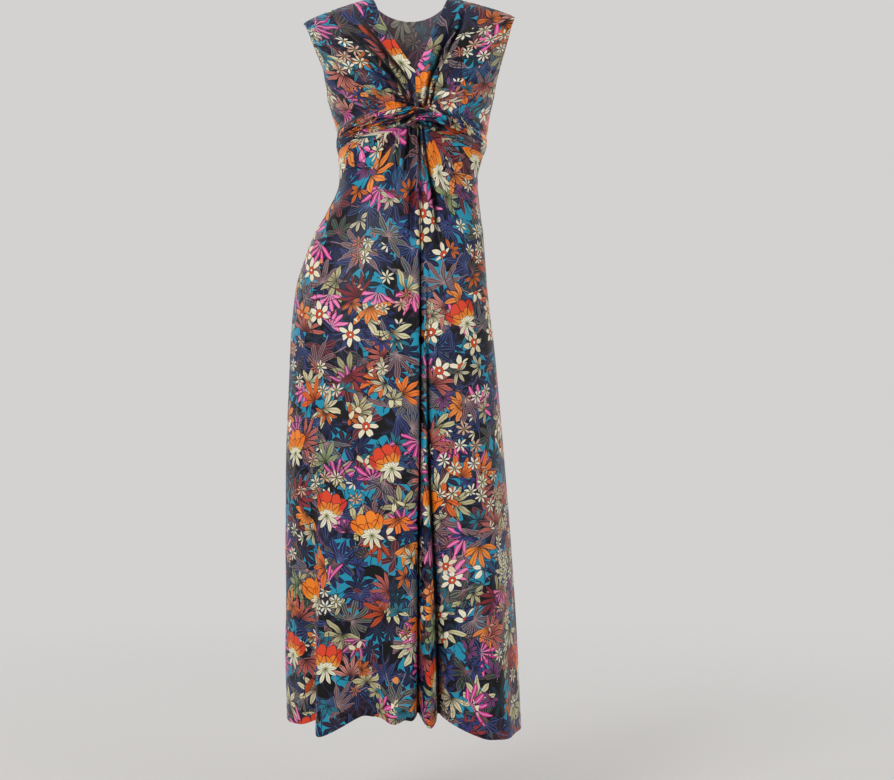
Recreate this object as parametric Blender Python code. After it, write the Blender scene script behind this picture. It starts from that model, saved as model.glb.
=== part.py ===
"""A sleeveless maxi dress of printed stretch jersey, worn and hollow, with a twist knot under the bust.

Metres, +Z up. The front faces -Y and the wearer's left is +X. The origin lies midway between the
shoulders, at the height where the dress bears on them. "down" is the drop from the shoulders along
the side line, and "across" runs from the right side (-1) through the centre (0) to the left side (1).
Each piece of cloth is a wall on a smooth surface through the lines that a cutter measures, moved in
and out by its folds.
"""

from collections import namedtuple

import bpy
import numpy as np

# ---- Driving sizes

CLOTH = 0.0015  # the wall of a panel
SEAM_GAP = 0.0004  # left between two pieces at a seam
SHOULDER, UNDERARM = 0.020, 0.160  # "down" at the shoulder seam and where the armhole ends
BAND_TOP, BAND_FOOT, HEM = 0.230, 0.262, 1.265  # "down" at the two under-bust seams and the hem
NECK_FOOT = 0.138  # "down" where the two fronts meet

NECK_POINT_X, NECK_POINT_Y = 0.071, 0.005  # inner end of the shoulder seam
NECK_POINT_Z = {-1: 0.0210, 1: 0.0235}  # on the right and on the left side
BACK_NECK_Y, BACK_NECK_Z = 0.066, -0.008  # lowest point of the back neckline
NECK_SHARE = 0.40  # share of the back's top edge that is neckline
SHOULDER_ROUND = 0.007  # how far the back swells just below the shoulder seams
ROUND_SHARE = 0.4  # where it does, as a share of the way from the top edge to the centre back's first row

CUP_FORWARD, CUP_X, CUP_Z = 0.021, 0.074, -0.162  # how far the cups stand out, and where
CUP_WIDE, CUP_TALL = 0.046, 0.040
MIDDLE_X = 0.004  # the cups lie either side of this
FULLNESS = 0.82  # under 1, a section is fuller than an ellipse

# The line of the neckline and centre front: down, x on the right front, x on the left front, y, z
CENTRE_LINE = (
    (0.020, -0.0710, 0.0710, 0.005, 0.0220),
    (0.030, -0.0645, 0.0650, -0.019, 0.0115),
    (0.045, -0.0530, 0.0545, -0.046, -0.0180),
    (0.078, -0.0310, 0.0385, -0.078, -0.0610),
    (0.112, -0.0100, 0.0255, -0.100, -0.0960),
    (NECK_FOOT, 0.0115, 0.0115, -0.114, -0.1330),
    (0.160, 0.0120, 0.0120, -0.116, -0.1550),
    (0.195, 0.0125, 0.0125, -0.118, -0.1750),
    (BAND_TOP, 0.0130, 0.0130, -0.118, -0.1905),
    (BAND_FOOT, 0.0135, 0.0135, -0.113, -0.2200),
    (0.304, 0.0140, 0.0140, -0.102, -0.2780),
    (0.375, 0.0060, 0.0060, -0.100, -0.3670),
    (0.445, -0.0080, -0.0080, -0.108, -0.4430),
    (0.500, -0.0160, -0.0160, -0.113, -0.5000),
    (0.600, -0.0160, -0.0160, -0.119, -0.5990),
    (0.800, -0.0120, -0.0120, -0.129, -0.7980),
    (0.950, -0.0100, -0.0100, -0.137, -0.9450),
    (1.120, -0.0080, -0.0080, -0.147, -1.1050),
    (HEM, -0.0060, -0.0060, -0.154, -1.2320),
)

# The armhole: down, x right, x left, y of its front edge, y of its back edge, z right, z left
ARMHOLE = (
    (0.020, -0.1910, 0.1880, 0.012, 0.012, -0.023, -0.012),
    (0.030, -0.1870, 0.1840, -0.002, 0.026, -0.030, -0.022),
    (0.045, -0.1790, 0.1760, -0.017, 0.040, -0.048, -0.047),
    (0.078, -0.1650, 0.1660, -0.041, 0.063, -0.081, -0.081),
    (0.112, -0.1525, 0.1565, -0.049, 0.067, -0.115, -0.115),
    (0.138, -0.1487, 0.1515, -0.037, 0.049, -0.142, -0.142),
    (0.150, -0.1472, 0.1500, -0.022, 0.028, -0.1545, -0.1545),
    (UNDERARM, -0.1462, 0.1490, 0.000, 0.000, -0.160, -0.160),
)

# The side seams below the armhole: down, x right, x left
SIDE_SEAM = (
    (0.195, -0.1365, 0.1415),
    (BAND_TOP, -0.1285, 0.1365),
    (BAND_FOOT, -0.1275, 0.1300),
    (0.304, -0.1262, 0.1205),
    (0.339, -0.1340, 0.1220),
    (0.375, -0.1550, 0.1270),
    (0.405, -0.1720, 0.1310),
    (0.445, -0.1870, 0.1340),
    (0.500, -0.2035, 0.1380),
    (0.600, -0.2130, 0.1500),
    (0.700, -0.2160, 0.1595),
    (0.800, -0.2205, 0.1680),
    (0.950, -0.2215, 0.1800),
    (1.120, -0.2195, 0.1910),
    (HEM, -0.2180, 0.1980),
)
HEM_SIDE_Z = {-1: -1.259, 1: -1.278}  # the hem hangs a little lower on the left

# The centre back: down, x, y, z
CENTRE_BACK = (
    (0.045, 0.000, 0.080, -0.045),
    (0.078, 0.000, 0.094, -0.080),
    (0.112, 0.000, 0.102, -0.114),
    (UNDERARM, 0.000, 0.103, -0.160),
    (0.195, 0.001, 0.098, -0.195),
    (BAND_TOP, 0.002, 0.092, -BAND_TOP),
    (BAND_FOOT, 0.002, 0.086, -BAND_FOOT),
    (0.304, 0.000, 0.079, -0.304),
    (0.375, -0.008, 0.092, -0.375),
    (0.445, -0.020, 0.112, -0.445),
    (0.500, -0.026, 0.122, -0.500),
    (0.600, -0.028, 0.127, -0.600),
    (0.800, -0.025, 0.131, -0.800),
    (0.950, -0.020, 0.137, -0.950),
    (1.120, -0.014, 0.146, -1.119),
    (HEM, -0.010, 0.152, -1.264),
)

# How a section runs from its centre to its side: down, roundness (0 straight, 1 elliptic), bow (over
# 1, it falls steeply beside the centre) and the bow on the right front, and how far its middle swells
# at the front and at the back
SECTION_SHAPE = (
    (0.020, 0.00, 0.75, 0.75, 0.000, 0.000),
    (0.045, 0.35, 0.95, 0.95, 0.007, 0.003),
    (0.078, 0.60, 1.10, 1.10, 0.014, 0.008),
    (0.112, 0.80, 1.20, 1.20, 0.010, 0.008),
    (NECK_FOOT, 0.95, 1.30, 1.25, 0.004, 0.005),
    (UNDERARM, 1.00, 1.35, 1.10, 0.000, 0.002),
    (BAND_TOP, 1.00, 1.00, 0.50, 0.000, 0.001),
    (BAND_FOOT, 1.00, 1.20, 0.50, 0.000, 0.000),
    (0.304, 1.00, 1.40, 0.85, 0.000, 0.000),
    (0.500, 1.00, 1.60, 1.60, 0.000, 0.000),
    (HEM, 1.00, 1.60, 1.60, 0.000, 0.000),
)

# A fold: its path in (x, z) as seen from the front or back; its width at its two ends; its depth at
# its start, middle and end, where less than 0 is a ridge; and its lip, the raised roll beside it as a
# share of its depth, on its left (over 0) or its right (under 0) when looking along the path
Fold = namedtuple("Fold", "name path width depth lip")

RIGHT_FRONT_FOLDS = (
    Fold("deep fold from the shoulder seam", ((-0.098, 0.004), (-0.082, -0.038), (-0.055, -0.075),
          (-0.028, -0.112), (-0.006, -0.142), (0.006, -0.187)),
         (0.007, 0.006), (0.002, 0.0085, 0.004), 0.5),
    Fold("second fold", ((-0.121, -0.054), (-0.083, -0.077), (-0.048, -0.114), (-0.025, -0.141),
          (-0.010, -0.163), (-0.001, -0.189)),
         (0.007, 0.006), (0.000, 0.006, 0.004), -0.5),
    Fold("neck roll", ((-0.060, -0.010), (-0.035, -0.062), (-0.012, -0.106), (0.004, -0.140),
          (0.009, -0.188)),
         (0.006, 0.008), (0.000, 0.003, 0.003), -0.4),
    Fold("third fold, over the cup", ((-0.085, -0.110), (-0.055, -0.140), (-0.030, -0.168),
          (-0.014, -0.193)),
         (0.010, 0.008), (0.000, 0.0035, 0.003), 0.5),
    Fold("soft pull under the cup", ((-0.105, -0.165), (-0.075, -0.180), (-0.045, -0.190),
          (-0.022, -0.197)),
         (0.010, 0.006), (0.000, 0.003, 0.002), 0.4),
)
LEFT_FRONT_FOLDS = (
    Fold("deep fold beside the neck strip", ((0.082, 0.004), (0.074, -0.040), (0.0615, -0.070),
          (0.0483, -0.112), (0.036, -0.148), (0.029, -0.187)),
         (0.006, 0.006), (0.001, 0.0075, 0.004), -0.5),
    Fold("second fold", ((0.098, -0.004), (0.0906, -0.033), (0.0713, -0.078), (0.0557, -0.116),
          (0.0444, -0.152), (0.037, -0.189)),
         (0.007, 0.006), (0.001, 0.006, 0.003), 0.5),
    Fold("neck roll", ((0.045, -0.060), (0.030, -0.105), (0.020, -0.140), (0.015, -0.188)),
         (0.005, 0.008), (0.000, 0.003, 0.003), 0.4),
    Fold("third fold, over the cup", ((0.090, -0.110), (0.067, -0.142), (0.050, -0.168),
          (0.038, -0.193)),
         (0.010, 0.008), (0.000, 0.0035, 0.003), -0.5),
    Fold("soft pull under the cup", ((0.118, -0.165), (0.090, -0.182), (0.065, -0.192),
          (0.046, -0.196)),
         (0.010, 0.006), (0.000, 0.003, 0.002), -0.4),
)
LONG_CENTRE_FOLD = Fold(
    "long centre fold", ((0.0175, -0.222), (0.0205, -0.380), (0.0215, -0.575), (0.0205, -0.800),
     (0.0185, -0.920), (0.0180, -1.262)),
    (0.0040, 0.007), (0.005, 0.010, 0.018), -0.15
)
SECOND_CENTRE_FOLD = Fold(
    "second centre fold", ((0.0320, -0.490), (0.0345, -0.680), (0.037, -0.810), (0.044, -0.930),
     (0.051, -1.050), (0.058, -1.262)),
    (0.005, 0.012), (0.000, 0.012, 0.026), -0.35
)
RIGHT_OVERHANG = Fold(
    "right fold, whose front edge overhangs", ((-0.172, -0.780), (-0.168, -0.900), (-0.166, -1.100),
     (-0.165, -1.262)),
    (0.012, 0.012), (0.000, 0.010, 0.018), 0.6
)
SKIRT_FRONT_FOLDS = (
    LONG_CENTRE_FOLD,
    SECOND_CENTRE_FOLD,
    RIGHT_OVERHANG,
    Fold("gather 1", ((-0.022, -0.232), (-0.042, -0.270), (-0.060, -0.330)),
         (0.006, 0.011), (0.003, 0.005, 0.000), 0.6),
    Fold("gather 2", ((-0.010, -0.227), (-0.022, -0.270), (-0.032, -0.350)),
         (0.005, 0.010), (0.004, 0.006, 0.000), 0.6),
    Fold("gather 3", ((0.001, -0.223), (-0.004, -0.290), (-0.006, -0.360)),
         (0.0045, 0.007), (0.005, 0.006, 0.000), 0.5),
    Fold("gather 4", ((0.0075, -0.222), (0.007, -0.300), (0.0045, -0.380), (0.002, -0.450)),
         (0.004, 0.007), (0.004, 0.006, 0.000), 0.4),
    Fold("slanting gather", ((0.020, -0.223), (0.028, -0.270), (0.0415, -0.337), (0.0543, -0.430),
          (0.060, -0.480)),
         (0.006, 0.012), (0.004, 0.008, 0.000), 0.5),
    Fold("gather 6", ((0.028, -0.225), (0.046, -0.270), (0.068, -0.335)),
         (0.005, 0.010), (0.004, 0.006, 0.000), -0.6),
    Fold("gather 7", ((0.038, -0.229), (0.064, -0.268), (0.088, -0.315)),
         (0.006, 0.010), (0.003, 0.004, 0.000), -0.6),
    Fold("right ridge", ((-0.120, -0.460), (-0.130, -0.700), (-0.133, -1.000), (-0.132, -1.262)),
         (0.040, 0.030), (0.000, -0.006, -0.022), 0.0),
    Fold("right trough", ((-0.070, -0.560), (-0.073, -0.800), (-0.080, -1.262)),
         (0.030, 0.032), (0.000, 0.004, 0.018), 0.0),
    Fold("middle ridge", ((-0.018, -0.560), (-0.022, -1.262)),
         (0.020, 0.020), (0.000, -0.004, -0.021), 0.0),
    Fold("narrow ridge", ((0.027, -0.500), (0.0295, -0.800), (0.034, -1.262)),
         (0.006, 0.008), (0.000, -0.002, -0.006), 0.0),
    Fold("inner trough", ((0.068, -0.780), (0.0755, -1.262)),
         (0.014, 0.018), (0.000, 0.003, 0.012), 0.0),
    Fold("left ridge", ((0.085, -0.520), (0.118, -0.850), (0.148, -1.262)),
         (0.034, 0.036), (0.000, -0.006, -0.016), 0.0),
    Fold("left trough", ((0.140, -0.560), (0.165, -0.850), (0.186, -1.262)),
         (0.016, 0.014), (0.000, 0.003, 0.006), 0.0),
)
BACK_FOLDS = (
    Fold("ease at the waist", ((-0.060, -0.270), (0.000, -0.282), (0.060, -0.270)),
         (0.010, 0.010), (0.000, 0.003, 0.000), 0.5),
    Fold("ridge 1", ((-0.120, -0.480), (-0.135, -0.800), (-0.150, -1.270)),
         (0.030, 0.028), (0.000, -0.005, -0.018), 0.0),
    Fold("trough 1", ((-0.085, -0.520), (-0.092, -0.800), (-0.098, -1.270)),
         (0.022, 0.024), (0.000, 0.005, 0.014), 0.0),
    Fold("ridge 2", ((-0.035, -0.460), (-0.040, -0.800), (-0.046, -1.270)),
         (0.026, 0.026), (0.000, -0.005, -0.016), 0.0),
    Fold("trough 2", ((0.005, -0.420), (0.006, -0.800), (0.008, -1.270)),
         (0.018, 0.022), (0.000, 0.006, 0.016), 0.0),
    Fold("ridge 3", ((0.045, -0.500), (0.056, -0.800), (0.064, -1.270)),
         (0.026, 0.026), (0.000, -0.004, -0.014), 0.0),
    Fold("trough 3", ((0.080, -0.560), (0.098, -0.850), (0.112, -1.270)),
         (0.020, 0.022), (0.000, 0.004, 0.013), 0.0),
    Fold("ridge 4", ((0.108, -0.520), (0.130, -0.800), (0.156, -1.270)),
         (0.022, 0.024), (0.000, -0.004, -0.012), 0.0),
    Fold("right side trough", ((-0.180, -0.700), (-0.188, -1.270)),
         (0.014, 0.016), (0.000, 0.003, 0.008), 0.0),
)
HEM_SAG, HEM_LIFT = 0.60, 0.55  # a fold that swings out by 1 lowers the hem by this, and inwards, lifts it
SAG_START = 0.90  # "down" where that begins
BLOUSE, BLOUSE_UP, BLOUSE_TALL = 0.004, 0.014, 0.010  # the bodice's soft swell above the band

# The twist knot: the right band passes over the centre as a loop, and the left band under it. Each
# rise table has rows of (across, height of the band's face over the surface).
KNOT_REACH = 0.15  # "across" from the knot's centre to where the two bands part
BAND_POINT = 0.05  # width left at a band's inner end, as a share of the band's
RIGHT_BAND_RISE = (
    (-1.00, 0.003),
    (-0.60, 0.006),
    (-0.22, 0.009),
    (-0.10, 0.014),
    (0.00, 0.020),
    (0.09, 0.012),
    (0.15, 0.003),
)
LEFT_BAND_RISE = (
    (-0.15, 0.003),
    (-0.07, 0.008),
    (0.01, 0.013),
    (0.09, 0.011),
    (0.22, 0.009),
    (0.60, 0.006),
    (1.00, 0.003),
)
BAND_GROOVES = ((0.36, 0.40), (0.68, 0.30))  # place over the band's width, and depth of its rise
GROOVE_WIDTH = 0.07
BAND_ARCH = 0.8  # under 1, the band's face is fuller than a half wave
BAND_BACKING = 0.45  # the gathered layers fill this share of the rise behind a band's face

# How many cells a piece has, down and across
BODICE_CELLS = (23, 19)
BAND_CELLS = (11, 15)  # across, up to the knot
KNOT_CELLS = 12  # across, in the knot
SKIRT_ROWS = 29
SKIRT_COLUMNS = (7, 15, 7, 14)  # right side to overhang, to centre fold, to second centre fold, to left side
BACK_CELLS = (34, 27)
NEAR = 1e-6  # two places this near are the same

PRINT_COLOURS = {  # the mean colour of each piece's print
    "front_bodice_right": (0.115, 0.115, 0.150),
    "front_bodice_left": (0.110, 0.120, 0.160),
    "twist_band_right": (0.150, 0.140, 0.140),
    "twist_band_left": (0.150, 0.115, 0.125),
    "skirt_front": (0.120, 0.105, 0.120),
    "back": (0.110, 0.105, 0.125),
}
JERSEY_ROUGHNESS = 0.45
CREASE = np.radians(50)  # edges sharper than this are drawn sharp


# ---- Curves and surfaces


def smooth(knots, values, at):
    """Values on a smooth curve through the knots, which never overshoots them."""
    knots = np.asarray(knots, float)
    at = np.clip(np.asarray(at, float), knots[0], knots[-1])
    values = np.asarray(values, float)
    values = values.reshape(values.shape + (1,) * (at.ndim + 1 - values.ndim))
    values = np.broadcast_to(values, (len(knots),) + at.shape)
    gap = np.diff(knots).reshape((-1,) + (1,) * at.ndim)
    slope = np.diff(values, axis=0) / gap
    before, after = slope[:-1], slope[1:]
    alike = before * after > 0
    total = np.where(alike, before + after, 1.0)
    tangent = np.empty_like(values)
    tangent[0], tangent[-1] = slope[0], slope[-1]
    tangent[1:-1] = np.where(alike, 2 * before * after / total, 0.0)
    i = np.clip(np.searchsorted(knots, at, side="right") - 1, 0, len(knots) - 2)

    def pick(rows, k):
        return np.take_along_axis(rows, k[None], axis=0)[0]

    width = knots[i + 1] - knots[i]
    t = (at - knots[i]) / width
    line = pick(values, i) * (1 + 2 * t) * (1 - t) ** 2 + pick(values, i + 1) * t * t * (3 - 2 * t)
    bend = pick(tangent, i) * t * (1 - t) ** 2 - pick(tangent, i + 1) * t * t * (1 - t)
    return line + bend * width


def column(table, k, down):
    """Column k of a table, at each "down"."""
    rows = np.array(table, float)
    return smooth(rows[:, 0], rows[:, k], down)


def side_line(side, down, edge):
    """The armhole's front or back edge, then the side seam."""
    x_column = 1 if side < 0 else 2
    y_column = 3 if edge == "front" else 4
    z_column = 5 if side < 0 else 6
    rows = [(r[0], r[x_column], r[y_column], r[z_column]) for r in ARMHOLE]
    rows += [(r[0], r[x_column], 0.0, -r[0]) for r in SIDE_SEAM[:-1]]
    rows.append((HEM, SIDE_SEAM[-1][x_column], 0.0, HEM_SIDE_Z[side]))
    return [column(rows, k, down) for k in (1, 2, 3)]


def section(inner, outer, down, share, back, bow_column=2):
    """Points of a section from its inner end (share 0) to its outer end (share 1)."""
    roundness, bow = column(SECTION_SHAPE, 1, down), column(SECTION_SHAPE, bow_column, down)
    swell = column(SECTION_SHAPE, 5, down) if back else -column(SECTION_SHAPE, 4, down)
    angle = share * np.pi / 2
    over = (1 - roundness) * share + roundness * np.sin(angle)
    deep = (1 - roundness) * (1 - share) + roundness * np.maximum(np.cos(angle), 0.0) ** FULLNESS
    x = inner[0] + (outer[0] - inner[0]) * over
    y = outer[1] + (inner[1] - outer[1]) * deep + swell * np.sin(np.pi * share)
    z = outer[2] + (inner[2] - outer[2]) * np.maximum(1 - over, 0.0) ** bow
    return x, y, z


def front(down, across, side=None):
    """The front. Where the neckline parts the two bodices, side (-1 or 1) says which one is meant."""
    down, across = np.broadcast_arrays(np.asarray(down, float), np.asarray(across, float))
    on_right = (across < 0) if side is None else np.full(across.shape, side < 0)
    share = np.clip(np.abs(across), 0.0, 1.0)
    y, z = column(CENTRE_LINE, 3, down), column(CENTRE_LINE, 4, down)
    halves = []
    for this_side, x_column in ((-1, 1), (1, 2)):
        inner = (column(CENTRE_LINE, x_column, down), y, z)
        bow_column = 3 if this_side < 0 else 2
        halves.append(section(inner, side_line(this_side, down, "front"), down, share, False, bow_column))
    x, y, z = (np.where(on_right, right, left) for right, left in zip(*halves))
    cup = np.exp(-(((np.abs(x - MIDDLE_X) - CUP_X) / CUP_WIDE) ** 2) - ((z - CUP_Z) / CUP_TALL) ** 2)
    y = y - CUP_FORWARD * cup * np.sqrt(np.abs(np.sin(np.pi * share)))
    return np.stack([x, y - SEAM_GAP / 2, z], axis=-1)


def back_top(across):
    """The back's top edge: the back neckline, with a shoulder seam at each end."""
    share = np.abs(across)
    side = np.where(across < 0, -1, 1)
    neck_z = np.where(across < 0, NECK_POINT_Z[-1], NECK_POINT_Z[1])
    tip_x = np.where(across < 0, ARMHOLE[0][1], ARMHOLE[0][2])
    tip_z = np.where(across < 0, ARMHOLE[0][5], ARMHOLE[0][6])
    along = np.clip((share - NECK_SHARE) / (1 - NECK_SHARE), 0.0, 1.0)
    turn = np.clip(share / NECK_SHARE, 0.0, 1.0) * np.pi / 2
    x = side * NECK_POINT_X * np.sin(turn) + (tip_x - side * NECK_POINT_X) * along
    y = NECK_POINT_Y + (BACK_NECK_Y - NECK_POINT_Y) * np.cos(turn) + (ARMHOLE[0][3] - NECK_POINT_Y) * along
    seam_z = tip_z + (neck_z - tip_z) * (1 - along) ** SECTION_SHAPE[0][2]
    return np.stack([x, y, seam_z + (BACK_NECK_Z - neck_z) * np.cos(turn) ** 1.5])


def back(down, across):
    """The back, a smooth surface from its top edge through the rows of the centre back."""
    down, across = np.broadcast_arrays(np.asarray(down, float), np.asarray(across, float))
    share = np.abs(across)
    levels = []
    for row in CENTRE_BACK:
        level = np.full(across.shape, row[0])
        right = section(row[1:], side_line(-1, level, "back"), level, share, back=True)
        left = section(row[1:], side_line(1, level, "back"), level, share, back=True)
        levels.append(np.where(across < 0, np.stack(right), np.stack(left)))
    top = back_top(across)
    swell = np.stack([0.0 * across, np.ones(across.shape), 0.8 * np.ones(across.shape)]) * SHOULDER_ROUND
    swell = swell * np.clip(share / NECK_SHARE, 0.0, 1.0) ** 4
    rounded = top + (levels[0] - top) * ROUND_SHARE + swell
    levels = np.stack([top, rounded] + levels)
    knots = [SHOULDER, SHOULDER + (CENTRE_BACK[0][0] - SHOULDER) * ROUND_SHARE]
    knots += [row[0] for row in CENTRE_BACK]
    x, y, z = (smooth(knots, levels[:, k], down) for k in range(3))
    return np.stack([x, y + SEAM_GAP / 2, z], axis=-1)


def unit(v):
    return v / np.maximum(np.linalg.norm(v, axis=-1, keepdims=True), 1e-12)


def facing(surface, down, across, outward):
    """The surface's normals at each place; outward (1 or -1) picks the side they are on."""
    step = 0.0005
    along = surface(down + step, across) - surface(down - step, across)
    wide = surface(down, np.clip(across + step, -1, 1)) - surface(down, np.clip(across - step, -1, 1))
    return unit(np.cross(along, wide)) * outward


def grid_facing(points, outward):
    """The normals of a grid of points."""
    return unit(np.cross(np.gradient(points, axis=0), np.gradient(points, axis=1))) * outward


def across_of(x, down):
    """The "across" of a place on the front, below the neckline, from its x."""
    centre = column(CENTRE_LINE, 1, down)
    side = np.where(x < centre, -1, 1)
    edge = np.where(x < centre, column(SIDE_SEAM, 1, down), column(SIDE_SEAM, 2, down))
    share = np.clip((x - centre) / (edge - centre), 0.0, 1.0)
    return side * np.arcsin(share) * 2 / np.pi


# ---- Folds


def beside(path, x, z):
    """How far each (x, z) lies from a path, over 0 on the path's left, and how far along it, 0 to 1."""
    path = np.asarray(path, float)
    length = np.append(0.0, np.cumsum(np.linalg.norm(np.diff(path, axis=0), axis=1)))
    fine = np.linspace(0.0, length[-1], 25)
    px, pz = smooth(length, path[:, 0], fine), smooth(length, path[:, 1], fine)
    nearest = np.full(x.shape, np.inf)
    side, along = np.ones(x.shape), np.zeros(x.shape)
    for k in range(len(fine) - 1):
        dx, dz = px[k + 1] - px[k], pz[k + 1] - pz[k]
        t = np.clip(((x - px[k]) * dx + (z - pz[k]) * dz) / (dx * dx + dz * dz), 0.0, 1.0)
        away = np.hypot(x - px[k] - t * dx, z - pz[k] - t * dz)
        turn = dx * (z - pz[k]) - dz * (x - px[k])
        closer = away < nearest
        nearest = np.where(closer, away, nearest)
        side = np.where(closer, np.where(turn < 0, -1.0, 1.0), side)
        along = np.where(closer, (k + t) / (len(fine) - 1), along)
    return nearest * side, along


def fold_rise(folds, points):
    """How far the folds move each point outwards."""
    x, z = points[..., 0], points[..., 2]
    rise = np.zeros(x.shape)
    for fold in folds:
        off, along = beside(fold.path, x, z)
        width = fold.width[0] + (fold.width[1] - fold.width[0]) * along
        depth = smooth((0.0, 0.5, 1.0), fold.depth, along)
        rise -= depth * np.exp(-((off / width) ** 2))
        roll = off * np.sign(fold.lip) - 1.7 * width
        rise += abs(fold.lip) * depth * np.exp(-((roll / (1.2 * width)) ** 2))
    return rise


# ---- Walls


def wall(name, outer, depth):
    """A closed wall behind a grid of outer points; depth holds the way from each to its inner point."""
    rows, columns = outer.shape[:2]
    behind = rows * columns
    places = np.concatenate([outer.reshape(-1, 3), (outer - depth).reshape(-1, 3)])
    number = np.arange(behind).reshape(rows, columns)
    faces = []
    for i in range(rows - 1):
        for j in range(columns - 1):
            ring = (number[i, j], number[i + 1, j], number[i + 1, j + 1], number[i, j + 1])
            faces.append(ring)
            faces.append(tuple(k + behind for k in reversed(ring)))
    rim = list(number[:, 0]) + list(number[-1, 1:]) + list(number[-2::-1, -1]) + list(number[0, -2:0:-1])
    for a, b in zip(rim, rim[1:] + rim[:1]):
        faces.append((b, a, a + behind, b + behind))
    mesh = bpy.data.meshes.new(name)
    mesh.from_pydata(places.tolist(), [], [tuple(int(k) for k in face) for face in faces])
    mesh.validate()
    mesh.shade_smooth()
    mesh.set_sharp_from_angle(angle=CREASE)
    piece = bpy.data.objects.new(name, mesh)
    bpy.context.collection.objects.link(piece)
    piece.data.materials.append(jersey(name))
    return piece


def jersey(name):
    material = bpy.data.materials.new(name + "_jersey")
    material.use_nodes = True
    shader = material.node_tree.nodes["Principled BSDF"]
    shader.inputs["Base Color"].default_value = (*PRINT_COLOURS[name], 1.0)
    shader.inputs["Roughness"].default_value = JERSEY_ROUGHNESS
    shader.inputs["Metallic"].default_value = 0.0
    return material


def squared(normals, base_normals, edges):
    """Normals whose named edges take the unfolded surface's, so that two pieces meet squarely."""
    places = {"top": np.s_[0], "foot": np.s_[-1], "first": np.s_[:, 0], "last": np.s_[:, -1]}
    for edge in edges:
        normals[places[edge]] = base_normals[places[edge]]
    return normals


def turned(outer, depth, side):
    """The grid with its columns in the order that makes its faces point outwards."""
    return (outer, depth) if side > 0 else (outer[:, ::-1], depth[:, ::-1])


def shoulder_up(side):
    """The direction that is square to a shoulder seam and to the line from front to back."""
    neck = np.array([side * NECK_POINT_X, 0.0, NECK_POINT_Z[side]])
    tip = np.array([ARMHOLE[0][1 if side < 0 else 2], 0.0, ARMHOLE[0][5 if side < 0 else 6]])
    up = np.cross(tip - neck, (0.0, 1.0, 0.0))
    return up / np.linalg.norm(up) * np.sign(up[2])


# ---- Pieces


def front_bodice(name, side, folds):
    """One front: shoulder seam to the band, and neckline to the armhole and side seam."""
    rows, columns = BODICE_CELLS
    down = np.linspace(SHOULDER, BAND_TOP - SEAM_GAP / 2, rows + 1)[:, None]
    across = side * np.linspace(0.0, 1.0, columns + 1)[None, :] ** 1.45
    down, across = np.broadcast_arrays(down, across)

    def surface(d, a):
        return front(d, a, side)

    base = surface(down, across)
    base_normals = facing(surface, down, across, side)
    meeting = np.clip((down - NECK_FOOT) / 0.01, 0.0, 1.0)
    base[..., 0] += side * SEAM_GAP / 2 * meeting * (np.abs(across) < NEAR)
    still = np.clip((BAND_TOP - down) / 0.012, 0.0, 1.0) * np.clip((down - SHOULDER) / 0.010, 0.0, 1.0)
    blouse = BLOUSE * np.exp(-(((down - BAND_TOP + BLOUSE_UP) / BLOUSE_TALL) ** 2)) * (1 - across**4)
    outer = base + base_normals * ((fold_rise(folds, base) + blouse) * still)[..., None]
    normals = grid_facing(outer, side)
    seam = down[:, -1] >= UNDERARM
    normals[seam, -1] = base_normals[seam, -1]
    normals = squared(normals, base_normals, ("foot", "first"))
    normals[0] = shoulder_up(side)
    return wall(name, *turned(outer, normals * CLOTH, side))


def split_line(across):
    """The "down" of the line in the knot where the right band lies above the left one."""
    t = np.clip((KNOT_REACH - across) / (2 * KNOT_REACH), 0.0, 1.0)
    return BAND_TOP + (BAND_FOOT - BAND_TOP) * (BAND_POINT + (1 - 2 * BAND_POINT) * t * t * (3 - 2 * t))


def twist_band(name, side, rise_table):
    """A gathered band from its side seam to the far side of the knot."""
    rows, columns = BAND_CELLS
    free = KNOT_REACH + (1 - KNOT_REACH) * np.linspace(1.0, 0.0, columns + 1)[:-1] ** 1.3
    knot = np.linspace(KNOT_REACH, -KNOT_REACH, KNOT_CELLS + 1)
    across = side * np.append(free, knot)[None, :]
    top, foot = np.full(across.shape, BAND_TOP), np.full(across.shape, BAND_FOOT)
    if side < 0:
        foot = np.where(across > -KNOT_REACH - NEAR, split_line(across), BAND_FOOT)
    else:
        top = np.where(across < KNOT_REACH + NEAR, split_line(across), BAND_TOP)
    width = np.linspace(0.0, 1.0, rows + 1)[:, None]
    down = top + SEAM_GAP / 2 + (foot - top - SEAM_GAP) * width
    across = np.broadcast_to(across, down.shape)
    base = front(down, across)
    base_normals = facing(front, down, across, 1)
    arch = np.sin(np.pi * width) ** BAND_ARCH
    for place, depth in BAND_GROOVES:
        arch = arch * (1 - depth * np.exp(-(((width - place) / GROOVE_WIDTH) ** 2)))
    knots, heights = zip(*rise_table)
    rise = smooth(knots, heights, across) * arch
    outer = base + base_normals * rise[..., None]
    normals = squared(grid_facing(outer, -side), base_normals, ("top", "foot", "first", "last"))
    backing = np.maximum(rise - CLOTH, 0.0) * BAND_BACKING
    return wall(name, *turned(outer, normals * CLOTH + base_normals * backing[..., None], -side))


def between(start, end, cells, crowd_start, crowd_end):
    """Grid lines from start to end, closer together at the ends that are crowded."""
    t = np.linspace(0.0, 1.0, cells + 1)
    if crowd_start and crowd_end:
        t = (1 - np.cos(np.pi * t)) / 2
    elif crowd_start:
        t = t**1.8
    elif crowd_end:
        t = 1 - (1 - t) ** 1.8
    return start + (end - start) * t


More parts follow.
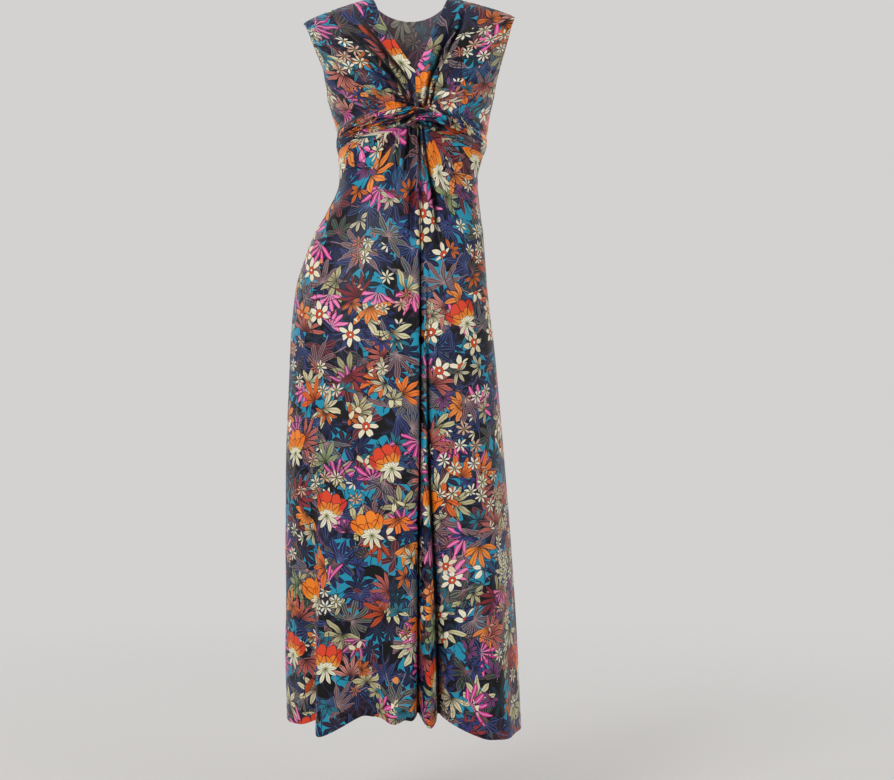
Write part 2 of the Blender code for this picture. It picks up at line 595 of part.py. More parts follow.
def skirt_front(name):
    """The skirt's front, gathered below the knot. Its grid lines run along its deepest folds."""
    t = np.linspace(0.0, 1.0, SKIRT_ROWS + 1)
    start = BAND_FOOT + SEAM_GAP / 2
    down = start + (HEM - start) * (0.45 * t + 0.55 * t**1.9)
    guides = []
    for fold, first_x in ((RIGHT_OVERHANG, -0.075), (LONG_CENTRE_FOLD, 0.0175), (SECOND_CENTRE_FOLD, 0.034)):
        path = np.array([(first_x, -BAND_FOOT)] + [p for p in fold.path if p[1] < -BAND_FOOT - 0.01])
        guides.append(across_of(smooth(-path[:, 1], path[:, 0], down), down))
    right, centre, second = guides
    lines = []
    for k in range(len(down)):
        spans = (
            between(-1.0, right[k], SKIRT_COLUMNS[0], False, True),
            between(right[k], centre[k], SKIRT_COLUMNS[1], False, True),
            between(centre[k], second[k], SKIRT_COLUMNS[2], False, False),
            between(second[k], 1.0, SKIRT_COLUMNS[3], True, False),
        )
        lines.append(np.concatenate([spans[0]] + [span[1:] for span in spans[1:]]))
    across = np.array(lines)
    down = np.broadcast_to(down[:, None], across.shape)
    return hanging(name, front, down, across, 1, SKIRT_FRONT_FOLDS)


def back_panel(name):
    """The back, in one piece from the shoulder seams and the back neckline to the hem."""
    rows, columns = BACK_CELLS
    t = np.linspace(0.0, 1.0, rows + 1)[:, None]
    down = SHOULDER + (HEM - SHOULDER) * (0.35 * t + 0.65 * t**1.8)
    across = np.linspace(-1.0, 1.0, columns + 1)[None, :]
    down, across = np.broadcast_arrays(down, across)
    return hanging(name, back, down, across, -1, BACK_FOLDS)


def hanging(name, surface, down, across, outward, folds):
    """A panel that hangs to the hem on a surface. Its folds lower the hem where they swing out."""
    base = surface(down, across)
    base_normals = facing(surface, down, across, outward)
    at_seams = np.clip((1 - np.abs(across)) / 0.06, 0.0, 1.0)
    rise = fold_rise(folds, base) * at_seams
    outer = base + base_normals * rise[..., None]
    sag = np.where(rise > 0, HEM_SAG, HEM_LIFT) * rise
    outer[..., 2] -= sag * np.clip((down - SAG_START) / (HEM - SAG_START), 0.0, 1.0)
    normals = grid_facing(outer, outward)
    below_armhole = down[:, 0] >= UNDERARM
    for seam in (0, -1):
        normals[below_armhole, seam] = base_normals[below_armhole, seam]
    if below_armhole.all():
        normals = squared(normals, base_normals, ("top",))
    else:
        for side in (-1, 1):
            normals[0, across[0] * side >= NECK_SHARE] = shoulder_up(side)
    return wall(name, *turned(outer, normals * CLOTH, outward))


for old in list(bpy.data.objects):
    bpy.data.objects.remove(old, do_unlink=True)

front_bodice("front_bodice_right", -1, RIGHT_FRONT_FOLDS)
front_bodice("front_bodice_left", 1, LEFT_FRONT_FOLDS)
twist_band("twist_band_right", -1, RIGHT_BAND_RISE)
twist_band("twist_band_left", 1, LEFT_BAND_RISE)
skirt_front("skirt_front")
back_panel("back")
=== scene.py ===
# %% [markdown]
# # A printed maxi dress
# A sleeveless jersey dress hangs from the shoulders, drawn together in a twist knot under the bust.
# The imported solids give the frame: metres, +Z up, the front faces -Y, and the wearer's left is +X.
# Each panel is rebuilt here on the same lines as its solid, with a finer grid, so that it can carry
# the small gathers and creases, and then it is printed, turned at its edges and stitched.

# %% Load the frame
import math
from collections import namedtuple

import bpy
import numpy as np
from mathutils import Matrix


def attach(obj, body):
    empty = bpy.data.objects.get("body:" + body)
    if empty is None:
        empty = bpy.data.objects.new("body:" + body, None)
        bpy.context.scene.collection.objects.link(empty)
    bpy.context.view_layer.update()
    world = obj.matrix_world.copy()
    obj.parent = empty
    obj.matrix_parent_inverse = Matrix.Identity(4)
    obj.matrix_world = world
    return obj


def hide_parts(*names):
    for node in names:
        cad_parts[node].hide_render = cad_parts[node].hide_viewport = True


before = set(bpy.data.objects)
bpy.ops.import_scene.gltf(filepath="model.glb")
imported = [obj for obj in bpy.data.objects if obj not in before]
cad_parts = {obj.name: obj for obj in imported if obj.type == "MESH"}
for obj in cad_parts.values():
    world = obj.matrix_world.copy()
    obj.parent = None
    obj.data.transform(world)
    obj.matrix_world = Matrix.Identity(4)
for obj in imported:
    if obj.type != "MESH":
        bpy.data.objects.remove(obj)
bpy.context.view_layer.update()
print("solids:", ", ".join(sorted(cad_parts)))

# %% [markdown]
# ## Sizes
# These are the solids' own lines. "down" is the drop from the shoulders along the side line, and
# "across" runs from the right side (-1) through the centre (0) to the left side (1).

# %% Sizes and lines of the dress
SEAM_GAP = 0.0004  # left between two pieces at a seam
SHOULDER, UNDERARM = 0.020, 0.160  # "down" at the shoulder seam and where the armhole ends
BAND_TOP, BAND_FOOT, HEM = 0.230, 0.262, 1.265  # "down" at the two under-bust seams and the hem
NECK_FOOT = 0.138  # "down" where the two fronts meet

NECK_POINT_X, NECK_POINT_Y = 0.071, 0.005  # inner end of the shoulder seam
NECK_POINT_Z = {-1: 0.0210, 1: 0.0235}  # on the right and on the left side
BACK_NECK_Y, BACK_NECK_Z = 0.066, -0.008  # lowest point of the back neckline
NECK_SHARE = 0.40  # share of the back's top edge that is neckline
NECK_CURVE = 1.5  # over 1, the back neckline is flatter in its middle
SHOULDER_ROUND, ROUND_LIFT = 0.007, 0.8  # the back's swell just below the shoulder seams, and its lift
ROUND_SHARE = 0.4  # where it does, as a share of the way from the top edge to the centre back's first row

CUP_FORWARD, CUP_X, CUP_Z = 0.021, 0.074, -0.162  # how far the cups stand out, and where
CUP_WIDE, CUP_TALL = 0.046, 0.040
MIDDLE_X = 0.004  # the cups lie either side of this
FULLNESS = 0.82  # under 1, a section is fuller than an ellipse

# The line of the neckline and centre front: down, x on the right front, x on the left front, y, z
CENTRE_LINE = (
    (0.020, -0.0710, 0.0710, 0.005, 0.0220),
    (0.030, -0.0645, 0.0650, -0.019, 0.0115),
    (0.045, -0.0530, 0.0545, -0.046, -0.0180),
    (0.078, -0.0310, 0.0385, -0.078, -0.0610),
    (0.112, -0.0100, 0.0255, -0.100, -0.0960),
    (NECK_FOOT, 0.0115, 0.0115, -0.114, -0.1330),
    (0.160, 0.0120, 0.0120, -0.116, -0.1550),
    (0.195, 0.0125, 0.0125, -0.118, -0.1750),
    (BAND_TOP, 0.0130, 0.0130, -0.118, -0.1905),
    (BAND_FOOT, 0.0135, 0.0135, -0.113, -0.2200),
    (0.304, 0.0140, 0.0140, -0.102, -0.2780),
    (0.375, 0.0060, 0.0060, -0.100, -0.3670),
    (0.445, -0.0080, -0.0080, -0.108, -0.4430),
    (0.500, -0.0160, -0.0160, -0.113, -0.5000),
    (0.600, -0.0160, -0.0160, -0.119, -0.5990),
    (0.800, -0.0120, -0.0120, -0.129, -0.7980),
    (0.950, -0.0100, -0.0100, -0.137, -0.9450),
    (1.120, -0.0080, -0.0080, -0.147, -1.1050),
    (HEM, -0.0060, -0.0060, -0.154, -1.2320),
)

# The armhole: down, x right, x left, y of its front edge, y of its back edge, z right, z left
ARMHOLE = (
    (0.020, -0.1910, 0.1880, 0.012, 0.012, -0.023, -0.012),
    (0.030, -0.1870, 0.1840, -0.002, 0.026, -0.030, -0.022),
    (0.045, -0.1790, 0.1760, -0.017, 0.040, -0.048, -0.047),
    (0.078, -0.1650, 0.1660, -0.041, 0.063, -0.081, -0.081),
    (0.112, -0.1525, 0.1565, -0.049, 0.067, -0.115, -0.115),
    (0.138, -0.1487, 0.1515, -0.037, 0.049, -0.142, -0.142),
    (0.150, -0.1472, 0.1500, -0.022, 0.028, -0.1545, -0.1545),
    (UNDERARM, -0.1462, 0.1490, 0.000, 0.000, -0.160, -0.160),
)

# The side seams below the armhole: down, x right, x left
SIDE_SEAM = (
    (0.195, -0.1365, 0.1415),
    (BAND_TOP, -0.1285, 0.1365),
    (BAND_FOOT, -0.1275, 0.1300),
    (0.304, -0.1262, 0.1205),
    (0.339, -0.1340, 0.1220),
    (0.375, -0.1550, 0.1270),
    (0.405, -0.1720, 0.1310),
    (0.445, -0.1870, 0.1340),
    (0.500, -0.2035, 0.1380),
    (0.600, -0.2130, 0.1500),
    (0.700, -0.2160, 0.1595),
    (0.800, -0.2205, 0.1680),
    (0.950, -0.2215, 0.1800),
    (1.120, -0.2195, 0.1910),
    (HEM, -0.2180, 0.1980),
)
HEM_SIDE_Z = {-1: -1.259, 1: -1.278}  # the hem hangs a little lower on the left

# The centre back: down, x, y, z
CENTRE_BACK = (
    (0.045, 0.000, 0.080, -0.045),
    (0.078, 0.000, 0.094, -0.080),
    (0.112, 0.000, 0.102, -0.114),
    (UNDERARM, 0.000, 0.103, -0.160),
    (0.195, 0.001, 0.098, -0.195),
    (BAND_TOP, 0.002, 0.092, -BAND_TOP),
    (BAND_FOOT, 0.002, 0.086, -BAND_FOOT),
    (0.304, 0.000, 0.079, -0.304),
    (0.375, -0.008, 0.092, -0.375),
    (0.445, -0.020, 0.112, -0.445),
    (0.500, -0.026, 0.122, -0.500),
    (0.600, -0.028, 0.127, -0.600),
    (0.800, -0.025, 0.131, -0.800),
    (0.950, -0.020, 0.137, -0.950),
    (1.120, -0.014, 0.146, -1.119),
    (HEM, -0.010, 0.152, -1.264),
)

# How a section runs from its centre to its side: down, roundness (0 straight, 1 elliptic), bow (over
# 1, it falls steeply beside the centre) and the bow on the right front, and how far its middle swells
# at the front and at the back
SECTION_SHAPE = (
    (0.020, 0.00, 0.75, 0.75, 0.000, 0.000),
    (0.045, 0.35, 0.95, 0.95, 0.007, 0.003),
    (0.078, 0.60, 1.10, 1.10, 0.014, 0.008),
    (0.112, 0.80, 1.20, 1.20, 0.010, 0.008),
    (NECK_FOOT, 0.95, 1.30, 1.25, 0.004, 0.005),
    (UNDERARM, 1.00, 1.35, 1.10, 0.000, 0.002),
    (BAND_TOP, 1.00, 1.00, 0.50, 0.000, 0.001),
    (BAND_FOOT, 1.00, 1.20, 0.50, 0.000, 0.000),
    (0.304, 1.00, 1.40, 0.85, 0.000, 0.000),
    (0.500, 1.00, 1.60, 1.60, 0.000, 0.000),
    (HEM, 1.00, 1.60, 1.60, 0.000, 0.000),
)

# A fold: its path in (x, z) as seen from the front or back; its width at its two ends; its depth at
# its start, middle and end, where less than 0 is a ridge; and its lip, the raised roll beside it as a
# share of its depth, on its left (over 0) or its right (under 0) when looking along the path
Fold = namedtuple("Fold", "name path width depth lip")

RIGHT_FRONT_FOLDS = (
    Fold("deep fold from the shoulder seam", ((-0.098, 0.004), (-0.082, -0.038), (-0.055, -0.075),
          (-0.028, -0.112), (-0.006, -0.142), (0.006, -0.187)),
         (0.007, 0.006), (0.002, 0.0085, 0.004), 0.5),
    Fold("second fold", ((-0.121, -0.054), (-0.083, -0.077), (-0.048, -0.114), (-0.025, -0.141),
          (-0.010, -0.163), (-0.001, -0.189)),
         (0.007, 0.006), (0.000, 0.006, 0.004), -0.5),
    Fold("neck roll", ((-0.060, -0.010), (-0.035, -0.062), (-0.012, -0.106), (0.004, -0.140),
          (0.009, -0.188)),
         (0.006, 0.008), (0.000, 0.003, 0.003), -0.4),
    Fold("third fold, over the cup", ((-0.085, -0.110), (-0.055, -0.140), (-0.030, -0.168),
          (-0.014, -0.193)),
         (0.010, 0.008), (0.000, 0.0035, 0.003), 0.5),
    Fold("soft pull under the cup", ((-0.105, -0.165), (-0.075, -0.180), (-0.045, -0.190),
          (-0.022, -0.197)),
         (0.010, 0.006), (0.000, 0.003, 0.002), 0.4),
)
LEFT_FRONT_FOLDS = (
    Fold("deep fold beside the neck strip", ((0.082, 0.004), (0.074, -0.040), (0.0615, -0.070),
          (0.0483, -0.112), (0.036, -0.148), (0.029, -0.187)),
         (0.006, 0.006), (0.001, 0.0075, 0.004), -0.5),
    Fold("second fold", ((0.098, -0.004), (0.0906, -0.033), (0.0713, -0.078), (0.0557, -0.116),
          (0.0444, -0.152), (0.037, -0.189)),
         (0.007, 0.006), (0.001, 0.006, 0.003), 0.5),
    Fold("neck roll", ((0.045, -0.060), (0.030, -0.105), (0.020, -0.140), (0.015, -0.188)),
         (0.005, 0.008), (0.000, 0.003, 0.003), 0.4),
    Fold("third fold, over the cup", ((0.090, -0.110), (0.067, -0.142), (0.050, -0.168),
          (0.038, -0.193)),
         (0.010, 0.008), (0.000, 0.0035, 0.003), -0.5),
    Fold("soft pull under the cup", ((0.118, -0.165), (0.090, -0.182), (0.065, -0.192),
          (0.046, -0.196)),
         (0.010, 0.006), (0.000, 0.003, 0.002), -0.4),
)
LONG_CENTRE_FOLD = Fold(
    "long centre fold",
    ((0.0175, -0.222), (0.0205, -0.380), (0.0215, -0.575), (0.0205, -0.800), (0.0185, -0.920),
     (0.0180, -1.262)),
    (0.0040, 0.007), (0.005, 0.010, 0.018), -0.15,
)
SECOND_CENTRE_FOLD = Fold(
    "second centre fold",
    ((0.0320, -0.490), (0.0345, -0.680), (0.037, -0.810), (0.044, -0.930), (0.051, -1.050), (0.058, -1.262)),
    (0.005, 0.012), (0.000, 0.012, 0.026), -0.35,
)
RIGHT_OVERHANG = Fold(
    "right fold, whose front edge overhangs",
    ((-0.172, -0.780), (-0.168, -0.900), (-0.166, -1.100), (-0.165, -1.262)),
    (0.012, 0.012), (0.000, 0.010, 0.018), 0.6,
)
SKIRT_FRONT_FOLDS = (
    LONG_CENTRE_FOLD,
    SECOND_CENTRE_FOLD,
    RIGHT_OVERHANG,
    Fold("gather 1", ((-0.022, -0.232), (-0.042, -0.270), (-0.060, -0.330)),
         (0.006, 0.011), (0.003, 0.005, 0.000), 0.6),
    Fold("gather 2", ((-0.010, -0.227), (-0.022, -0.270), (-0.032, -0.350)),
         (0.005, 0.010), (0.004, 0.006, 0.000), 0.6),
    Fold("gather 3", ((0.001, -0.223), (-0.004, -0.290), (-0.006, -0.360)),
         (0.0045, 0.007), (0.005, 0.006, 0.000), 0.5),
    Fold("gather 4", ((0.0075, -0.222), (0.007, -0.300), (0.0045, -0.380), (0.002, -0.450)),
         (0.004, 0.007), (0.004, 0.006, 0.000), 0.4),
    Fold("slanting gather", ((0.020, -0.223), (0.028, -0.270), (0.0415, -0.337), (0.0543, -0.430),
          (0.060, -0.480)),
         (0.006, 0.012), (0.004, 0.008, 0.000), 0.5),
    Fold("gather 6", ((0.028, -0.225), (0.046, -0.270), (0.068, -0.335)),
         (0.005, 0.010), (0.004, 0.006, 0.000), -0.6),
    Fold("gather 7", ((0.038, -0.229), (0.064, -0.268), (0.088, -0.315)),
         (0.006, 0.010), (0.003, 0.004, 0.000), -0.6),
    Fold("right ridge", ((-0.120, -0.460), (-0.130, -0.700), (-0.133, -1.000), (-0.132, -1.262)),
         (0.040, 0.030), (0.000, -0.006, -0.022), 0.0),
    Fold("right trough", ((-0.070, -0.560), (-0.073, -0.800), (-0.080, -1.262)),
         (0.030, 0.032), (0.000, 0.004, 0.018), 0.0),
    Fold("middle ridge", ((-0.018, -0.560), (-0.022, -1.262)),
         (0.020, 0.020), (0.000, -0.004, -0.021), 0.0),
    Fold("narrow ridge", ((0.027, -0.500), (0.0295, -0.800), (0.034, -1.262)),
         (0.006, 0.008), (0.000, -0.002, -0.006), 0.0),
    Fold("inner trough", ((0.068, -0.780), (0.0755, -1.262)),
         (0.014, 0.018), (0.000, 0.003, 0.012), 0.0),
    Fold("left ridge", ((0.085, -0.520), (0.118, -0.850), (0.148, -1.262)),
         (0.034, 0.036), (0.000, -0.006, -0.016), 0.0),
    Fold("left trough", ((0.140, -0.560), (0.165, -0.850), (0.186, -1.262)),
         (0.016, 0.014), (0.000, 0.003, 0.006), 0.0),
)
BACK_FOLDS = (
    Fold("ease at the waist", ((-0.060, -0.270), (0.000, -0.282), (0.060, -0.270)),
         (0.010, 0.010), (0.000, 0.003, 0.000), 0.5),
    Fold("ridge 1", ((-0.120, -0.480), (-0.135, -0.800), (-0.150, -1.270)),
         (0.030, 0.028), (0.000, -0.005, -0.018), 0.0),
    Fold("trough 1", ((-0.085, -0.520), (-0.092, -0.800), (-0.098, -1.270)),
         (0.022, 0.024), (0.000, 0.005, 0.014), 0.0),
    Fold("ridge 2", ((-0.035, -0.460), (-0.040, -0.800), (-0.046, -1.270)),
         (0.026, 0.026), (0.000, -0.005, -0.016), 0.0),
    Fold("trough 2", ((0.005, -0.420), (0.006, -0.800), (0.008, -1.270)),
         (0.018, 0.022), (0.000, 0.006, 0.016), 0.0),
    Fold("ridge 3", ((0.045, -0.500), (0.056, -0.800), (0.064, -1.270)),
         (0.026, 0.026), (0.000, -0.004, -0.014), 0.0),
    Fold("trough 3", ((0.080, -0.560), (0.098, -0.850), (0.112, -1.270)),
         (0.020, 0.022), (0.000, 0.004, 0.013), 0.0),
    Fold("ridge 4", ((0.108, -0.520), (0.130, -0.800), (0.156, -1.270)),
         (0.022, 0.024), (0.000, -0.004, -0.012), 0.0),
    Fold("right side trough", ((-0.180, -0.700), (-0.188, -1.270)),
         (0.014, 0.016), (0.000, 0.003, 0.008), 0.0),
)
HEM_SAG, HEM_LIFT = 0.60, 0.55  # a fold that swings out by 1 lowers the hem by this, and inwards, lifts it
SAG_START = 0.90  # "down" where that begins
BLOUSE, BLOUSE_UP, BLOUSE_TALL = 0.004, 0.014, 0.010  # the bodice's soft swell above the band

# The twist knot: the right band passes over the centre as a loop, and the left band under it. Each
# rise table has rows of (across, height of the band's face over the surface).
KNOT_REACH = 0.15  # "across" from the knot's centre to where the two bands part
BAND_POINT = 0.05  # width left at a band's inner end, as a share of the band's
RIGHT_BAND_RISE = (
    (-1.00, 0.003),
    (-0.60, 0.006),
    (-0.22, 0.009),
    (-0.10, 0.014),
    (0.00, 0.020),
    (0.09, 0.012),
    (0.15, 0.003),
)
LEFT_BAND_RISE = (
    (-0.15, 0.003),
    (-0.07, 0.008),
    (0.01, 0.013),
    (0.09, 0.011),
    (0.22, 0.009),
    (0.60, 0.006),
    (1.00, 0.003),
)
BAND_ARCH = 0.8  # under 1, the band's face is fuller than a half wave
BAND_BACKING = 0.45  # the gathered layers fill this share of the rise behind a band's face

NEAR = 1e-6  # two places this near are the same
print("lines of the dress:", len(CENTRE_LINE), "rows at the front,", len(CENTRE_BACK), "at the back")

# %% [markdown]
# ## Surfaces
# A smooth surface runs through those lines, and folds move its points in and out.

# %% Surfaces and folds
PATH_STEPS = 24  # a fold's path is followed in this many straight steps
FOLD_REACH = 5  # a fold is felt this many widths away
LIP_AWAY, LIP_WIDE = 1.7, 1.2  # a lip's place beside its fold, and its width, in widths of the fold
CROWDING = 1.8  # over 1, grid lines lie closer together at a crowded end
NORMAL_STEP = 0.0005  # a normal is taken from places this far to each side
TINY = 1e-12
X_OF, Z_OF, BOW_OF = {-1: 1, 1: 2}, {-1: 5, 1: 6}, {-1: 3, 1: 2}  # the columns for each side


def eased(far, over):
    """0 up to a line, and rising to 1 over a distance past it."""
    return np.clip(far / over, 0.0, 1.0)


def hump(off, width):
    """1 where off is 0, falling smoothly to almost nothing at twice the width."""
    return np.exp(-((off / width) ** 2))


def smooth(knots, values, at):
    """Values on a smooth curve through the knots, which never overshoots them."""
    knots = np.asarray(knots, float)
    at = np.clip(np.asarray(at, float), knots[0], knots[-1])
    values = np.asarray(values, float)
    values = values.reshape(values.shape + (1,) * (at.ndim + 1 - values.ndim))
    values = np.broadcast_to(values, (len(knots),) + at.shape)
    gap = np.diff(knots).reshape((-1,) + (1,) * at.ndim)
    slope = np.diff(values, axis=0) / gap
    before, after = slope[:-1], slope[1:]
    alike = before * after > 0
    total = np.where(alike, before + after, 1.0)
    tangent = np.empty_like(values)
    tangent[0], tangent[-1] = slope[0], slope[-1]
    tangent[1:-1] = np.where(alike, 2 * before * after / total, 0.0)
    i = np.clip(np.searchsorted(knots, at, side="right") - 1, 0, len(knots) - 2)

    def pick(rows, k):
        return np.take_along_axis(rows, k[None], axis=0)[0]

    width = knots[i + 1] - knots[i]
    t = (at - knots[i]) / width
    line = pick(values, i) * (1 + 2 * t) * (1 - t) ** 2 + pick(values, i + 1) * t * t * (3 - 2 * t)
    bend = pick(tangent, i) * t * (1 - t) ** 2 - pick(tangent, i + 1) * t * t * (1 - t)
    return line + bend * width


def column(table, k, down):
    """Column k of a table, at each "down"."""
    rows = np.array(table, float)
    return smooth(rows[:, 0], rows[:, k], down)


def side_line(side, down, edge):
    """The armhole's front or back edge, then the side seam."""
    x, y, z = X_OF[side], (3 if edge == "front" else 4), Z_OF[side]
    rows = [(r[0], r[x], r[y], r[z]) for r in ARMHOLE]
    rows += [(r[0], r[x], 0.0, -r[0]) for r in SIDE_SEAM[:-1]]
    rows.append((HEM, SIDE_SEAM[-1][x], 0.0, HEM_SIDE_Z[side]))
    return [column(rows, k, down) for k in (1, 2, 3)]


def section(inner, outer, down, share, back, bow_column=2):
    """Points of a section from its inner end (share 0) to its outer end (share 1)."""
    roundness, bow = column(SECTION_SHAPE, 1, down), column(SECTION_SHAPE, bow_column, down)
    swell = column(SECTION_SHAPE, 5, down) if back else -column(SECTION_SHAPE, 4, down)
    angle = share * np.pi / 2
    over = (1 - roundness) * share + roundness * np.sin(angle)
    deep = (1 - roundness) * (1 - share) + roundness * np.maximum(np.cos(angle), 0.0) ** FULLNESS
    x = inner[0] + (outer[0] - inner[0]) * over
    y = outer[1] + (inner[1] - outer[1]) * deep + swell * np.sin(np.pi * share)
    z = outer[2] + (inner[2] - outer[2]) * np.maximum(1 - over, 0.0) ** bow
    return x, y, z


def front(down, across, side=None):
    """The front. Where the neckline parts the two bodices, side (-1 or 1) says which one is meant."""
    down, across = np.broadcast_arrays(np.asarray(down, float), np.asarray(across, float))
    on_right = (across < 0) if side is None else np.full(across.shape, side < 0)
    share = np.clip(np.abs(across), 0.0, 1.0)
    y, z = column(CENTRE_LINE, 3, down), column(CENTRE_LINE, 4, down)
    halves = []
    for this_side in (-1, 1):
        inner = (column(CENTRE_LINE, X_OF[this_side], down), y, z)
        outer = side_line(this_side, down, "front")
        halves.append(section(inner, outer, down, share, False, BOW_OF[this_side]))
    x, y, z = (np.where(on_right, right, left) for right, left in zip(*halves))
    cup = np.exp(-(((np.abs(x - MIDDLE_X) - CUP_X) / CUP_WIDE) ** 2) - ((z - CUP_Z) / CUP_TALL) ** 2)
    y = y - CUP_FORWARD * cup * np.sqrt(np.abs(np.sin(np.pi * share)))
    return np.stack([x, y - SEAM_GAP / 2, z], axis=-1)


def back_top(across):
    """The back's top edge: the back neckline, with a shoulder seam at each end."""
    share = np.abs(across)
    side = np.where(across < 0, -1, 1)
    neck_z = np.where(across < 0, NECK_POINT_Z[-1], NECK_POINT_Z[1])
    tip_x, tip_z = (np.where(across < 0, ARMHOLE[0][of[-1]], ARMHOLE[0][of[1]]) for of in (X_OF, Z_OF))
    along = eased(share - NECK_SHARE, 1 - NECK_SHARE)
    turn = eased(share, NECK_SHARE) * np.pi / 2
    x = side * NECK_POINT_X * np.sin(turn) + (tip_x - side * NECK_POINT_X) * along
    y = NECK_POINT_Y + (BACK_NECK_Y - NECK_POINT_Y) * np.cos(turn) + (ARMHOLE[0][3] - NECK_POINT_Y) * along
    seam_z = tip_z + (neck_z - tip_z) * (1 - along) ** SECTION_SHAPE[0][2]
    return np.stack([x, y, seam_z + (BACK_NECK_Z - neck_z) * np.cos(turn) ** NECK_CURVE])


def back(down, across):
    """The back, a smooth surface from its top edge through the rows of the centre back."""
    down, across = np.broadcast_arrays(np.asarray(down, float), np.asarray(across, float))
    share = np.abs(across)
    levels = []
    for row in CENTRE_BACK:
        level = np.full(across.shape, row[0])
        seams = (side_line(-1, level, "back"), side_line(1, level, "back"))
        right, left = (section(row[1:], seam, level, share, back=True) for seam in seams)
        levels.append(np.where(across < 0, np.stack(right), np.stack(left)))
    top = back_top(across)
    whole = np.ones(across.shape)
    swell = np.stack([0.0 * across, whole, ROUND_LIFT * whole]) * SHOULDER_ROUND
    swell = swell * eased(share, NECK_SHARE) ** 4
    rounded = top + (levels[0] - top) * ROUND_SHARE + swell
    levels = np.stack([top, rounded] + levels)
    knots = [SHOULDER, SHOULDER + (CENTRE_BACK[0][0] - SHOULDER) * ROUND_SHARE]
    knots += [row[0] for row in CENTRE_BACK]
    x, y, z = (smooth(knots, levels[:, k], down) for k in range(3))
    return np.stack([x, y + SEAM_GAP / 2, z], axis=-1)


def unit(v):
    """Each vector at length 1."""
    return v / np.maximum(np.linalg.norm(v, axis=-1, keepdims=True), TINY)


def facing(surface, down, across, outward):
    """The surface's normals at each place; outward (1 or -1) picks the side they are on."""
    along = surface(down + NORMAL_STEP, across) - surface(down - NORMAL_STEP, across)
    after, before = np.clip(across + NORMAL_STEP, -1, 1), np.clip(across - NORMAL_STEP, -1, 1)
    wide = surface(down, after) - surface(down, before)
    return unit(np.cross(along, wide)) * outward


def grid_facing(points, outward):
    """The normals of a grid of points."""
    return unit(np.cross(np.gradient(points, axis=0), np.gradient(points, axis=1))) * outward


def across_of(x, down):
    """The "across" of a place on the front, below the neckline, from its x."""
    centre = column(CENTRE_LINE, 1, down)
    side = np.where(x < centre, -1, 1)
    edge = np.where(x < centre, column(SIDE_SEAM, 1, down), column(SIDE_SEAM, 2, down))
    share = eased(x - centre, edge - centre)
    return side * np.arcsin(share) * 2 / np.pi


def beside(path, x, z):
    """How far each (x, z) lies from a path, over 0 on the path's left, and how far along it, 0 to 1."""
    path = np.asarray(path, float)
    length = np.append(0.0, np.cumsum(np.linalg.norm(np.diff(path, axis=0), axis=1)))
    fine = np.linspace(0.0, length[-1], PATH_STEPS + 1)
    px, pz = smooth(length, path[:, 0], fine), smooth(length, path[:, 1], fine)
    nearest = np.full(x.shape, np.inf)
    side, along = np.ones(x.shape), np.zeros(x.shape)
    for k in range(PATH_STEPS):
        dx, dz = px[k + 1] - px[k], pz[k + 1] - pz[k]
        t = np.clip(((x - px[k]) * dx + (z - pz[k]) * dz) / (dx * dx + dz * dz), 0.0, 1.0)
        away = np.hypot(x - px[k] - t * dx, z - pz[k] - t * dz)
        turn = dx * (z - pz[k]) - dz * (x - px[k])
        closer = away < nearest
        nearest = np.where(closer, away, nearest)
        side = np.where(closer, np.where(turn < 0, -1.0, 1.0), side)
        along = np.where(closer, (k + t) / PATH_STEPS, along)
    return nearest * side, along


def fold_rise(folds, points):
    """How far the folds move each point outwards."""
    x, z = points[..., 0], points[..., 2]
    rise = np.zeros(x.shape)
    for fold in folds:
        reach = FOLD_REACH * max(fold.width)
        xs, zs = zip(*fold.path)
        near = (x > min(xs) - reach) & (x < max(xs) + reach) & (z > min(zs) - reach) & (z < max(zs) + reach)
        if near.any():
            off, along = beside(fold.path, x[near], z[near])
            width = fold.width[0] + (fold.width[1] - fold.width[0]) * along
            depth = smooth((0.0, 0.5, 1.0), fold.depth, along)
            rise[near] -= depth * hump(off, width)
            roll = off * np.sign(fold.lip) - LIP_AWAY * width
            rise[near] += abs(fold.lip) * depth * hump(roll, LIP_WIDE * width)
    return rise


def squared(normals, base_normals, edges):
    """Normals whose named edges take the unfolded surface's, so that two pieces meet squarely."""
    places = {"top": np.s_[0], "foot": np.s_[-1], "first": np.s_[:, 0], "last": np.s_[:, -1]}
    for edge in edges:
        normals[places[edge]] = base_normals[places[edge]]
    return normals


def shoulder_up(side):
    """The direction that is square to a shoulder seam and to the line from front to back."""
    neck = np.array([side * NECK_POINT_X, 0.0, NECK_POINT_Z[side]])
    tip = np.array([ARMHOLE[0][X_OF[side]], 0.0, ARMHOLE[0][Z_OF[side]]])
    up = np.cross(tip - neck, (0.0, 1.0, 0.0))
    return unit(up) * np.sign(up[2])


def split_line(across):
    """The "down" of the line in the knot where the right band lies above the left one."""
    t = eased(KNOT_REACH - across, 2 * KNOT_REACH)
    return BAND_TOP + (BAND_FOOT - BAND_TOP) * (BAND_POINT + (1 - 2 * BAND_POINT) * t * t * (3 - 2 * t))


def between(start, end, cells, crowd_start, crowd_end):
    """Grid lines from start to end, closer together at the ends that are crowded."""
    t = np.linspace(0.0, 1.0, cells + 1)
    if crowd_start and crowd_end:
        t = (1 - np.cos(np.pi * t)) / 2
    elif crowd_start:
        t = t**CROWDING
    elif crowd_end:
        t = 1 - (1 - t) ** CROWDING
    return start + (end - start) * t


seams = np.array([UNDERARM, BAND_FOOT, HEM])
widths = front(seams, 1.0)[:, 0] - front(seams, -1.0)[:, 0]
print("widths at the underarm, under-bust and hem:", [round(float(w), 3) for w in widths])

# %% [markdown]
# ## Fine folds
# A fan of gathers starts in a row beside the knot and spreads. Narrow folds, over which the cloth
# closes, run down to the knot and on down the skirt. Soft pulls lie at the shoulders and seams.

